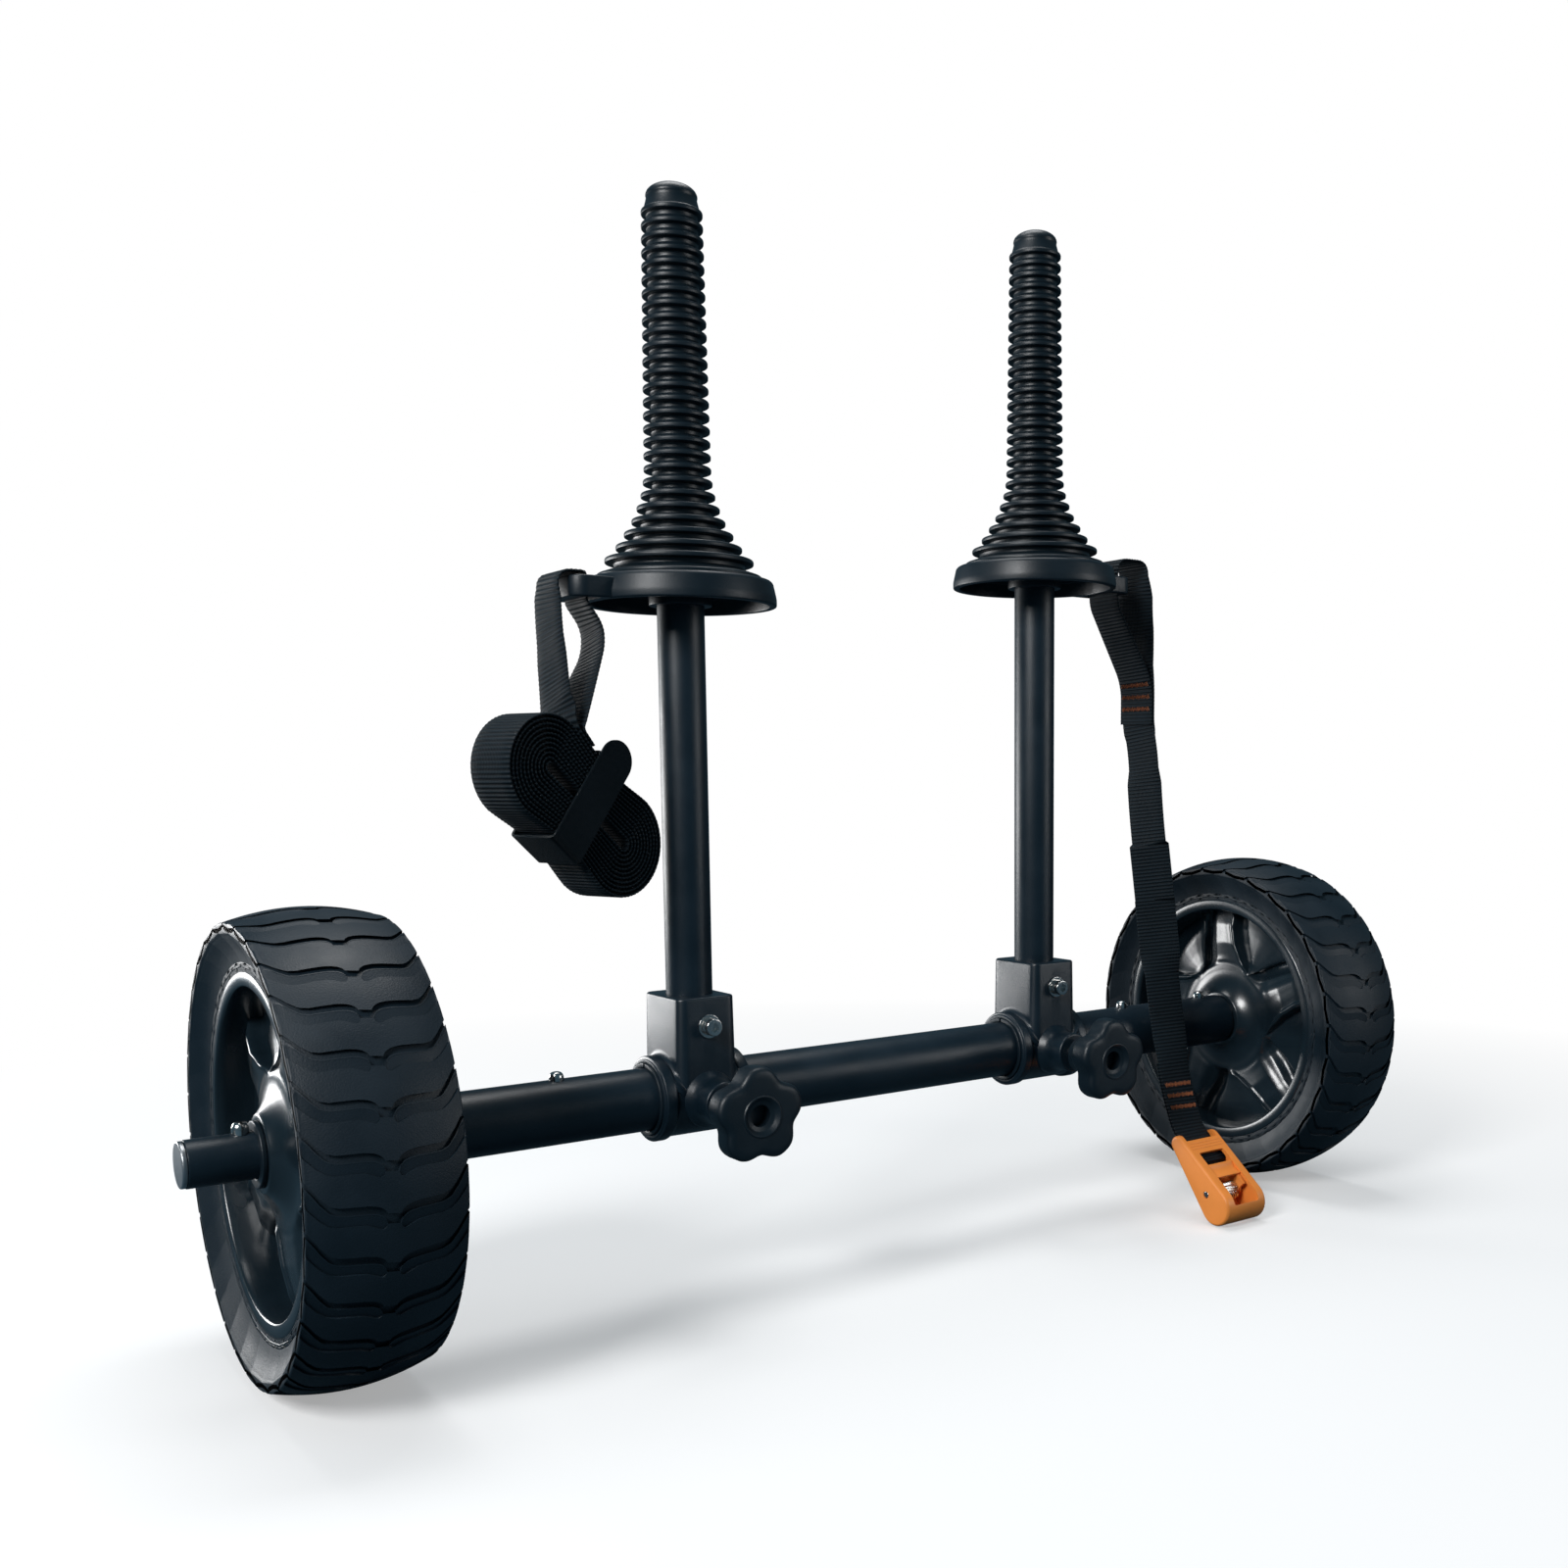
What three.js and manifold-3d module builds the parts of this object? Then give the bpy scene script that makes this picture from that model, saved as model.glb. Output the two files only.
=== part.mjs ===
// Kayak cart: a two-wheel trolley whose two ribbed posts go up through a kayak's scupper holes.
// Millimetres, +Z up. The origin is on the floor, midway between the wheels and under the axle.
// +X runs along the axle, -Y is the side with the star knobs.
import * as THREE from "three";
import { mergeVertices } from "three/addons/utils/BufferGeometryUtils.js";
import Module from "manifold-3d";

const wasm = await Module();
wasm.setup();

// Clearances
const GAP = 0.3; // between pieces that touch
const OVERRUN = 2; // how far a cutter passes the face that it cuts
const WELD = 0.0001; // corners closer than this are one

// Wheels
const WHEEL_DIAMETER = 254;
const WHEEL_WIDTH = 76;
const WHEEL_FROM_MIDDLE = 359; // middle plane of a wheel
const SHOULDER_DROP = 6.5; // tread radius less shoulder radius
const CROWN_DROP = 4; // fall of the tread towards its edges
const SHOULDER_RUN = 8; // width of the rounded edge of the tread
const SIDE_LIP = 4; // flat outer rim of the sidewall
const DISH_DEPTH = 10; // the bead lies this far inside the sidewall's outer plane
const TYRE_HEIGHT = 29; // from the bead to the tread
const BEAD_HEIGHT = 5; // from the rim's seat to the bead
const BEAD_RIDGE = 1.6;
const RIM_BAND_WALL = 6.5;
const RIM_FLANGE = 2.2;
const RIM_FLANGE_RISE = 2.3;
const WEB_THICKNESS = 11;
const SPOKES = 5;
const LEFT_SPOKE_TURN = 34; // degrees from +Y to the nearest spoke above it
const RIGHT_SPOKE_TURN = 10;
const SPOKE_THICKNESS = 44;
const SPOKE_ROOT_WIDTH = 50; // at the cone's edge
const SPOKE_WAIST_WIDTH = 38;
const SPOKE_WAIST_SHARE = 0.4; // of the way from the cone to the rim
const SPOKE_TIP_WIDTH = 33;
const SPOKE_EDGE = 3.5;
const CONE_DIAMETER = 82; // the hub flares out to this
const HUB_DIAMETER = 42;
const HUB_BORE = 30.6;
const HUB_HALF = 31.2; // middle plane to the face of a hub bush
const HUB_BUSH_FLANGE = 2.5;
const HUB_BUSH_FLANGE_DIAMETER = 35.5;
const HUB_BUSH_LENGTH = 22;

// Axle
const TUBE_DIAMETER = 38;
const TUBE_WALL = 2;
const STUB_DIAMETER = 25;
const STUB_WALL = 2;
const STUB_END_RUN = 30; // a stub axle goes on this far past the wheel button
const STUB_TAIL = 20; // and this far inwards past the inner button
const SLEEVE_TAIL = 25;
const CAP_FLANGE = 2.5;
const CAP_PLUG_LENGTH = 12;
const CAP_CHAMFER = 0.8;
const CAP_INSET = 0.4; // the cap's flange is smaller than the stub by this, all round
const OUTER_BUTTON_INSET = 19.5; // from the end of the main tube
const BUTTON_SPACING = 83;
const BUTTON_DIAMETER = 8.6;
const BUTTON_PLAY = 1.5; // between the hub bush and the wheel button
const TUBE_BUTTON_RISE = 5;
const WHEEL_BUTTON_RISE = 6;
const BUTTON_DOME = 3.2;
const BUTTON_FLANGE_DIAMETER = 11;
const BUTTON_FLANGE = 2;
const BUTTON_SEAT = 8.5; // top of a button's flange above the axle's centre
const CLIP_WIDTH = 8;
const CLIP_THICKNESS = 0.8;
const CLIP_ARM = 12;
const CLIP_NOSE = 6;
const CLIP_DEPTH = 9.4; // lower arm below the axle's centre

// Clamps
const CLAMP_INSET = 87; // from the inner button to the post's axis
const COLLAR_HALF = 30;
const COLLAR_DIAMETER = 48.6;
const COLLAR_RIM_DIAMETER = 52;
const COLLAR_RIM_WIDTH = 8;
const BUSHING_WALL = 2.7;
const BUSHING_SHOWS = 1.5;
const BUSHING_SPLIT = 2;
const BLOCK_X = 38;
const BLOCK_Y = 47;
const BLOCK_TOP = 62; // above the axle's centre
const BLOCK_CORNER = 5;
const BLOCK_EDGE = 1;
const BOSS_DIAMETER = 27;
const BOSS_REACH = 44; // end of the knob's boss, from the axle's centre
const SOCKET_FLOOR = 27; // bottom of the post's socket, above the axle's centre
const BOLT_HEIGHT = 44.5;
const BOLT_DIAMETER = 6;
const BOLT_HEAD_DIAMETER = 10.4;
const BOLT_HEAD = 6;
const BOLT_SOCKET = 5;
const BOLT_SOCKET_DEPTH = 3;
const WASHER_DIAMETER = 14.4;
const WASHER = 1.5;
const NUT_ACROSS = 10;
const NUT = 6;
const BOLT_TAIL = 2;

// Star knobs
const KNOB_DIAMETER = 56.5;
const KNOB_VALLEY = 5.5; // how far the hollows between the lobes come in
const KNOB_LOBES = 5;
const KNOB_THICKNESS = 16;
const KNOB_BACK = 70; // back of the lobes, from the axle's centre
const KNOB_ROUND = 3;
const KNOB_NECK = 20;
const KNOB_NECK_DIAMETER = 24;
const KNOB_DISH_DIAMETER = 23;
const KNOB_DISH = 2.5;
const KNOB_HOLE_DIAMETER = 11.5;
const KNOB_HOLE = 9;
const STUD_DIAMETER = 8;
const STUD_IN_HEAD = 5;
const PAD = 3;

// Posts
const POST_DIAMETER = 28;
const POST_WALL = 1.8;
const CORE_WALL = 1.5;
const CORE_IN_POST = 60;
const LEFT_PLATE_HEIGHT = 294; // underside of a plate above the axle's centre
const RIGHT_PLATE_HEIGHT = 323;
const PLATE_DIAMETER = 114;
const PLATE_TOP_DIAMETER = 109;
const PLATE_HEIGHT = 15;
const PLATE_TOP = 5; // thickness of the plate's top
const PLATE_RIM = 4.5;
const PLATE_BOSS_DIAMETER = 37;
const PLATE_SEAT = 6; // the post goes this far up into the plate
const SKIRT_SEAT = 1; // the sleeve's skirt stands this deep in the plate
const EAR_REACH = 76;
const EAR_HALF_WIDTH = 20;
const EAR_CORNER = 9;
const EAR_HEIGHT = 12;
const EAR_SLOT_AT = 62.5;
const EAR_SLOT_WIDTH = 9;
const EAR_SLOT_LENGTH = 34;

// Ribbed sleeves
const SLEEVE_HEIGHT = 225; // above the plate
const SLEEVE_RIBS = 27;
const RIB_TOP_DIAMETER = 35.5;
const RIB_LOW_DIAMETER = 39.5;
const SLEEVE_GROOVE_DIAMETER = 29;
const FLARE_GROOVE_DEPTH = 5.5;
const SKIRT_DIAMETER = 97;
const FLARE_SHARES = [0.9, 0.763, 0.66, 0.567, 0.502, 0.45, 0.42]; // of the skirt, from the plate up
const SKIRT_EDGE = 3;
const CAP_DOME = 9;
const CAP_WALL = 4;

// Straps. Places are measured out and forward from the post's axis and down from the plate's underside.
const WEB_WIDTH = 30;
const WEB_GAUGE = 1.6;
const LAYER_PITCH = 2.3; // middle to middle of two sewn layers
const STRAP_STEP = 22; // longest straight piece of a strap
const LOOP_ROUND = 10;
const LEG_BEND = 7;
const BELLY_DROP = 12;
const SEAM_ROUND = 12;

// A loop stands above the ear by its rise and beyond it by its slack.
const LEFT_LOOP = { rise: 2.4, slack: 7, corner: 3, bend: 2, turn: 5 };
const LEFT_INNER_BACK = { out: 57, front: 0.5, drop: 15 };
const LEFT_INNER_KNEE = { out: 58, front: 3, drop: 28 };
const LEFT_OUTER_KNEE = { out: 84.3, front: 8, drop: 47 };
const LEFT_KNEE_TURN = 8;
const FOOT_START = 6; // the sewn foot of the loop lies on the roll's first run from here
const FOOT_END = 18;
const RIGHT_LOOP = { rise: 13, slack: 20, corner: 10, bend: 7, turn: 24 };
const RIGHT_SEAM = { out: 98, front: 3, drop: 62, turn: 6, length: 30 };
const ROLL_TURNS = 11;
const ROLL_PITCH = 2.6;
const ROLL_CORE = 2.2;
const ROLL_UPPER = { out: 105.8, front: 25, drop: 94.9 };
const ROLL_LOWER = { out: 55, front: 7, drop: 139.3 };
const ROLL_TURN = 20.6; // degrees
const ROLL_WAIST_SHARE = 0.86;
const TIE_WIDTH = 24;
const TIE_GAUGE = 1.6;
const TIE_CLEARANCE = 0.6;
const TIE_TAB_RISE = 14;
const HANG_ROUND = 24;
const HANG_SHARES = [
  [0.79, 0.057, 0.075, -0.05],
  [0.66, 0.132, 0.224, 0.07],
  [1.45, 0.227, 0.373, 0.32],
  [1.97, 0.32, 0.51, 0.56],
  [1.9, 0.49, 0.708, 0.88],
  [1.45, 0.756, 0.904, 1],
]; // out, front, drop and turn, from the upper seam to the buckle
const BUCKLE_SEAM = 48; // length of the seam above the buckle

// Buckle: lengths run from where the strap enters, down along the strap
const BUCKLE_AT = { out: 101.8, front: 60, drop: 393 };
const BUCKLE_TILT = 45.6; // degrees below level
const BUCKLE_WIDTH = 40;
const BUCKLE_LENGTH = 73.5;
const BUCKLE_TOP_RADIUS = 6;
const BUCKLE_END_RADIUS = 13.5;
const BUCKLE_SHELL = 2.6;
const BUCKLE_CHEEK = 4;
const BUCKLE_EDGE = 0.8;
const BUCKLE_WINDOW_WIDTH = 25;
const BUCKLE_WINDOW_START = 20;
const BUCKLE_WINDOW_END = 70;
const FEED_SLOT = 3.6;
const FEED_SLOT_BELOW = 6;
const STRAP_BAR_AT = 23;
const STRAP_BAR_DIAMETER = 5;
const PIN_AT = 49;
const PIN_DROP = 0.5;
const PIN_DIAMETER = 4.4;
const CAM_DIAMETER = 15.2;
const CAM_FALL = 2.2;
const CAM_TEETH = 12;
const CAM_TOOTH = 0.8;
const CAM_WIDTH = 18.4;
const LEVER_START = 31;
const LEVER_END = 43;
const LEVER_LUG_LAP = 4; // the lugs run this far under the plate
const LEVER_PLATE = 2.4;
const LEVER_INSET = 0.6;
const LEVER_LUG = 2.5;
const LEVER_HUB_DIAMETER = 8.4;
const SPRING_WIRE = 0.8;
const SPRING_COILS = 1.5;
const SPRING_PITCH = 1.3;
const SPRING_LEG = 5;

// Facets
const ROUND = 24; // large round pieces
const MEDIUM_ROUND = 16;
const SMALL_ROUND = 8;
const WHEEL_ROUND = 28;
const SLEEVE_ROUND = 12;
const CURVE_STEPS = 2; // round edges
const BEND_STEPS = 3; // bends of a strap
const ROLL_STEPS = 7; // half turns of the roll

// Sizes that follow
const AXLE_HEIGHT = WHEEL_DIAMETER / 2;
const TUBE_RADIUS = TUBE_DIAMETER / 2;
const TUBE_BORE = TUBE_RADIUS - TUBE_WALL;
const STUB_RADIUS = STUB_DIAMETER / 2;
const STUB_BORE = STUB_RADIUS - STUB_WALL;
const TUBE_HALF = WHEEL_FROM_MIDDLE - HUB_HALF - GAP;
const BUTTON_RADIUS = BUTTON_DIAMETER / 2;
const OUTER_BUTTON_AT = TUBE_HALF - OUTER_BUTTON_INSET;
const INNER_BUTTON_AT = OUTER_BUTTON_AT - BUTTON_SPACING;
const WHEEL_BUTTON_AT = WHEEL_FROM_MIDDLE + HUB_HALF + BUTTON_PLAY + BUTTON_RADIUS;
const STUB_REACH = WHEEL_BUTTON_AT + STUB_END_RUN;
const STUB_START = INNER_BUTTON_AT - STUB_TAIL;
const SLEEVE_START = INNER_BUTTON_AT - SLEEVE_TAIL;
const POST_FROM_MIDDLE = INNER_BUTTON_AT - CLAMP_INSET;
const BEAD_DIAMETER = WHEEL_DIAMETER - 2 * TYRE_HEIGHT;
const RIM_DIAMETER = BEAD_DIAMETER - 2 * BEAD_HEIGHT;
const BUSHING_INNER = TUBE_RADIUS + GAP;
const BUSHING_OUTER = BUSHING_INNER + BUSHING_WALL;
const POST_RADIUS = POST_DIAMETER / 2;
const CORE_RADIUS = POST_RADIUS - POST_WALL - GAP;
const BOLT_HOLE_RADIUS = BOLT_DIAMETER / 2 + GAP;
const STUD_RADIUS = STUD_DIAMETER / 2;
const KNOB_FRONT = KNOB_BACK + KNOB_THICKNESS;
const HEX_CORNER_SHARE = 1 / Math.cos(Math.PI / 6);
const BUCKLE_END_AT = BUCKLE_LENGTH - BUCKLE_END_RADIUS;
const BUCKLE_INSIDE = BUCKLE_WIDTH / 2 - BUCKLE_CHEEK;

const black = (roughness, metalness) =>
  new THREE.MeshStandardMaterial({ color: 0x14181c, roughness, metalness });
const tubeMetal = black(0.45, 0.6);
const castMetal = black(0.5, 0.4);
const plastic = black(0.55, 0);
const rimPlastic = black(0.25, 0);
const rubber = black(0.8, 0);
const webbing = black(0.9, 0);
const steel = new THREE.MeshStandardMaterial({ color: 0xc9ccd0, roughness: 0.25, metalness: 1 });
const alloy = new THREE.MeshStandardMaterial({ color: 0xb4b8bb, roughness: 0.4, metalness: 1 });
const blackAlloy = new THREE.MeshStandardMaterial({ color: 0x14191f, roughness: 0.4, metalness: 1 });
const orange = new THREE.MeshStandardMaterial({ color: 0xe8822e, roughness: 0.5, metalness: 0 });

// Solids from geometries

function signedVolume(positions, triangles) {
  const [a, b, c] = [new THREE.Vector3(), new THREE.Vector3(), new THREE.Vector3()];
  let volume = 0;
  for (let i = 0; i < triangles.length; i += 3) {
    a.fromArray(positions, triangles[i] * 3);
    b.fromArray(positions, triangles[i + 1] * 3);
    c.fromArray(positions, triangles[i + 2] * 3);
    volume += a.dot(b.cross(c)) / 6;
  }
  return volume;
}

// A closed geometry as a solid, with its faces turned outwards.
function solid(geometry) {
  const bare = new THREE.BufferGeometry();
  bare.setAttribute("position", geometry.getAttribute("position"));
  if (geometry.index) bare.setIndex(geometry.index);
  const merged = mergeVertices(bare, WELD);
  const vertProperties = merged.attributes.position.array;
  const triVerts = new Uint32Array(merged.index.array);
  if (signedVolume(vertProperties, triVerts) < 0) {
    for (let i = 0; i < triVerts.length; i += 3) {
      [triVerts[i + 1], triVerts[i + 2]] = [triVerts[i + 2], triVerts[i + 1]];
    }
  }
  return new wasm.Manifold(new wasm.Mesh({ numProp: 3, vertProperties, triVerts }));
}

function geometryOf(manifold) {
  const { numProp, vertProperties, triVerts } = manifold.getMesh();
  const count = vertProperties.length / numProp;
  const positions = new Float32Array(count * 3);
  for (let i = 0; i < count; i++) {
    positions.set(vertProperties.subarray(i * numProp, i * numProp + 3), i * 3);
  }
  const geometry = new THREE.BufferGeometry();
  geometry.setAttribute("position", new THREE.BufferAttribute(positions, 3));
  return geometry.setIndex(new THREE.BufferAttribute(triVerts, 1));
}

function addMesh(group, name, manifold, material) {
  const mesh = new THREE.Mesh(geometryOf(manifold), material.clone());
  mesh.name = name;
  group.add(mesh);
  return mesh;
}

// A profile of [along, radius] pairs turned about X, Y or Z.
function turned(profile, axis, segments = ROUND) {
  const points = profile.map(([along, radius]) => new THREE.Vector2(radius, along));
  const onAxis = points[0].x === 0 && points[points.length - 1].x === 0;
  if (!onAxis) points.push(points[0].clone());
  const geometry = new THREE.LatheGeometry(points, segments);
  if (axis === "x") geometry.rotateZ(-Math.PI / 2);
  if (axis === "z") geometry.rotateX(Math.PI / 2);
  return solid(geometry);
}

const rod = (from, to, radius, axis, segments) =>
  turned([[from, 0], [from, radius], [to, radius], [to, 0]], axis, segments);

const pipe = (from, to, inner, outer, axis, segments) =>
  turned([[from, inner], [from, outer], [to, outer], [to, inner]], axis, segments);

function box(from, to) {
  const size = to.map((value, i) => value - from[i]);
  const middle = to.map((value, i) => (value + from[i]) / 2);
  return solid(new THREE.BoxGeometry(...size).translate(...middle));
}

// An outline raised along Z, centred on its own plane, with its edges rounded off.
function raised(shape, depth, edge = 0) {
  const geometry = new THREE.ExtrudeGeometry(shape, {
    depth: depth - 2 * edge,
    bevelEnabled: edge > 0,
    bevelThickness: edge,
    bevelSize: edge,
    bevelOffset: -edge,
    bevelSegments: 1,
    curveSegments: CURVE_STEPS,
  });
  return geometry.translate(0, 0, edge - depth / 2);
}

function roundedRectangle(width, height, corner) {
  const shape = new THREE.Shape();
  const x = width / 2 - corner;
  const y = height / 2 - corner;
  shape.absarc(x, y, corner, 0, Math.PI / 2);
  shape.absarc(-x, y, corner, Math.PI / 2, Math.PI);
  shape.absarc(-x, -y, corner, Math.PI, Math.PI * 1.5);
  shape.absarc(x, -y, corner, Math.PI * 1.5, Math.PI * 2);
  return shape;
}

// The points of a dome from its edge to its top.
function dome(top, radius, rise) {
  const points = [];
  for (let i = 0; i < CURVE_STEPS; i++) {
    const angle = (i / CURVE_STEPS) * (Math.PI / 2);
    points.push([top - rise + rise * Math.sin(angle), radius * Math.cos(angle)]);
  }
  points.push([top, 0]);
  return points;
}

const facing = (side, manifold) => (side > 0 ? manifold : manifold.rotate([0, 0, 180]));

// Axle

const buttonHole = (at) =>
  rod(0, TUBE_RADIUS + OVERRUN, BUTTON_RADIUS + GAP, "z", SMALL_ROUND).translate([at, 0, 0]);

function axleTube() {
  let tube = pipe(-TUBE_HALF, TUBE_HALF, TUBE_BORE, TUBE_RADIUS, "x");
  for (const at of [INNER_BUTTON_AT, OUTER_BUTTON_AT]) {
    tube = tube.subtract(buttonHole(at)).subtract(buttonHole(-at));
  }
  return tube;
}

function stubAxle() {
  const end = STUB_REACH - CAP_FLANGE - GAP;
  let stub = pipe(STUB_START, end, STUB_BORE, STUB_RADIUS, "x", ROUND);
  for (const at of [INNER_BUTTON_AT, OUTER_BUTTON_AT, WHEEL_BUTTON_AT]) {
    stub = stub.subtract(buttonHole(at));
  }
  return stub;
}

function stubEndCap() {
  const face = STUB_REACH - CAP_FLANGE;
  const flangeRadius = STUB_RADIUS - CAP_INSET;
  const plugRadius = STUB_BORE - GAP;
  const profile = [
    [face - CAP_PLUG_LENGTH, 0],
    [face - CAP_PLUG_LENGTH, plugRadius],
    [face, plugRadius],
    [face, flangeRadius],
    [STUB_REACH - CAP_CHAMFER, flangeRadius],
    [STUB_REACH, flangeRadius - CAP_CHAMFER],
    [STUB_REACH, 0],
  ];
  return turned(profile, "x", MEDIUM_ROUND);
}

// Plastic sleeve that fills the space between the stub and the main tube.
function stubBushing() {
  const sleeve = pipe(SLEEVE_START, TUBE_HALF, STUB_RADIUS + GAP, TUBE_BORE - GAP, "x");
  return sleeve.subtract(buttonHole(INNER_BUTTON_AT)).subtract(buttonHole(OUTER_BUTTON_AT));
}

function snapButton(top) {
  const profile = [
    [BUTTON_SEAT - BUTTON_FLANGE, 0],
    [BUTTON_SEAT - BUTTON_FLANGE, BUTTON_FLANGE_DIAMETER / 2],
    [BUTTON_SEAT, BUTTON_FLANGE_DIAMETER / 2],
    [BUTTON_SEAT, BUTTON_RADIUS],
    ...dome(top, BUTTON_RADIUS, BUTTON_DOME),
  ];
  return turned(profile, "z", SMALL_ROUND);
}

// Leaf spring, bent into a U inside the stub, that pushes a snap button up.
function buttonSpring() {
  const upper = BUTTON_SEAT - BUTTON_FLANGE - GAP;
  const bend = (upper + CLIP_DEPTH) / 2;
  const middle = upper - bend;
  const shape = new THREE.Shape();
  shape.moveTo(CLIP_NOSE, upper);
  shape.absarc(-CLIP_ARM, middle, bend, Math.PI / 2, Math.PI * 1.5);
  shape.lineTo(CLIP_NOSE, -CLIP_DEPTH);
  shape.lineTo(CLIP_NOSE, CLIP_THICKNESS - CLIP_DEPTH);
  shape.absarc(-CLIP_ARM, middle, bend - CLIP_THICKNESS, Math.PI * 1.5, Math.PI / 2, true);
  shape.lineTo(CLIP_NOSE, upper - CLIP_THICKNESS);
  return solid(raised(shape, CLIP_WIDTH).rotateX(Math.PI / 2));
}

// Wheels

function tyre() {
  const outer = WHEEL_DIAMETER / 2;
  const half = WHEEL_WIDTH / 2;
  const shoulder = outer - SHOULDER_DROP;
  const seat = RIM_DIAMETER / 2 + GAP;
  const bead = BEAD_DIAMETER / 2;
  const beadPlane = half - DISH_DEPTH;
  const side = [
    [beadPlane, seat],
    [beadPlane, bead - BEAD_RIDGE],
    [beadPlane + BEAD_RIDGE, bead],
    [half, shoulder - SIDE_LIP],
    [half, shoulder],
    [half - SHOULDER_RUN, outer - CROWN_DROP],
  ];
  const other = side.map(([x, radius]) => [-x, radius]).reverse();
  return turned([...side, [0, outer], ...other], "x", WHEEL_ROUND);
}

// Outline of one spoke, from inside the hub's cone to inside the rim's band.
function spokeShape() {
  const start = CONE_DIAMETER / 2 - SPOKE_EDGE;
  const end = (RIM_DIAMETER - RIM_BAND_WALL) / 2;
  const waist = THREE.MathUtils.lerp(start, end, SPOKE_WAIST_SHARE);
  const upper = [
    new THREE.Vector2(start, SPOKE_ROOT_WIDTH / 2),
    new THREE.Vector2(waist, SPOKE_WAIST_WIDTH / 2),
    new THREE.Vector2(end, SPOKE_TIP_WIDTH / 2),
  ];
  const lower = upper.map(({ x, y }) => new THREE.Vector2(x, -y)).reverse();
  return new THREE.Shape([...lower, ...upper].reverse());
}

function rim(spokeTurn) {
  const seat = RIM_DIAMETER / 2;
  const bandInner = seat - RIM_BAND_WALL;
  const flangeIn = WHEEL_WIDTH / 2 - DISH_DEPTH + GAP;
  const flangeOut = flangeIn + RIM_FLANGE;
  const hubEnd = HUB_HALF - HUB_BUSH_FLANGE - GAP;
  const hubRadius = HUB_DIAMETER / 2;
  const web = WEB_THICKNESS / 2;
  const right = [
    [hubEnd, HUB_BORE / 2],
    [hubEnd, hubRadius],
    [SPOKE_THICKNESS / 2 - SPOKE_EDGE, CONE_DIAMETER / 2],
    [web, CONE_DIAMETER / 2],
    [web, bandInner],
    [flangeOut, bandInner],
    [flangeOut, seat + RIM_FLANGE_RISE],
    [flangeIn, seat],
  ];
  const left = right.map(([x, radius]) => [-x, radius]).reverse();
  let wheel = turned([...right, ...left], "x", WHEEL_ROUND);
  const shape = raised(spokeShape(), SPOKE_THICKNESS, SPOKE_EDGE).rotateZ(Math.PI / 2);
  const spoke = solid(shape.rotateY(Math.PI / 2));
  for (let i = 0; i < SPOKES; i++) {
    wheel = wheel.add(spoke.rotate([spokeTurn + (360 * i) / SPOKES, 0, 0]));
  }
  return wheel.subtract(rod(-WHEEL_WIDTH, WHEEL_WIDTH, HUB_BORE / 2, "x", WHEEL_ROUND));
}

// Flanged plastic bush pressed into one end of the hub.
function hubBush() {
  const flangeIn = HUB_HALF - HUB_BUSH_FLANGE;
  const inner = STUB_RADIUS + GAP;
  const sleeve = HUB_BORE / 2 - GAP;
  const profile = [
    [HUB_HALF - HUB_BUSH_LENGTH, inner],
    [HUB_HALF - HUB_BUSH_LENGTH, sleeve],
    [flangeIn, sleeve],
    [flangeIn, HUB_BUSH_FLANGE_DIAMETER / 2],
    [HUB_HALF, HUB_BUSH_FLANGE_DIAMETER / 2],
    [HUB_HALF, inner],
  ];
  return turned(profile, "x", MEDIUM_ROUND);
}

// Clamps

function clampBushing() {
  const half = COLLAR_HALF + BUSHING_SHOWS;
  const ring = pipe(-half, half, BUSHING_INNER, BUSHING_OUTER, "x");
  const split = box(
    [-half - OVERRUN, -BUSHING_SPLIT / 2, 0],
    [half + OVERRUN, BUSHING_SPLIT / 2, BUSHING_OUTER + OVERRUN],
  );
  return ring.subtract(split);
}

const boltHole = () =>
  rod(-BLOCK_Y, BLOCK_Y, BOLT_HOLE_RADIUS, "y", SMALL_ROUND).translate([0, 0, BOLT_HEIGHT]);

function clampBody() {
  const barrel = COLLAR_DIAMETER / 2;
  const rimRadius = COLLAR_RIM_DIAMETER / 2;
  const rimStart = COLLAR_HALF - COLLAR_RIM_WIDTH;
  const profile = [
    [-COLLAR_HALF, 0],
    [-COLLAR_HALF, rimRadius],
    [-rimStart, rimRadius],
    [-rimStart, barrel],
    [rimStart, barrel],
    [rimStart, rimRadius],
    [COLLAR_HALF, rimRadius],
    [COLLAR_HALF, 0],
  ];
  const outline = roundedRectangle(BLOCK_X, BLOCK_Y, BLOCK_CORNER);
  const block = raised(outline, BLOCK_TOP, BLOCK_EDGE).translate(0, 0, BLOCK_TOP / 2);
  const bore = rod(-COLLAR_HALF - OVERRUN, COLLAR_HALF + OVERRUN, BUSHING_OUTER + GAP, "x");
  const socket = rod(SOCKET_FLOOR, BLOCK_TOP + OVERRUN, POST_RADIUS + GAP, "z");
  const studHole = rod(-BOSS_REACH - OVERRUN, 0, STUD_RADIUS + GAP, "y", MEDIUM_ROUND);
  return turned(profile, "x")
    .add(solid(block))
    .add(rod(-BOSS_REACH, 0, BOSS_DIAMETER / 2, "y", MEDIUM_ROUND))
    .subtract(bore)
    .subtract(socket)
    .subtract(boltHole())
    .subtract(studHole);
}

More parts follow.
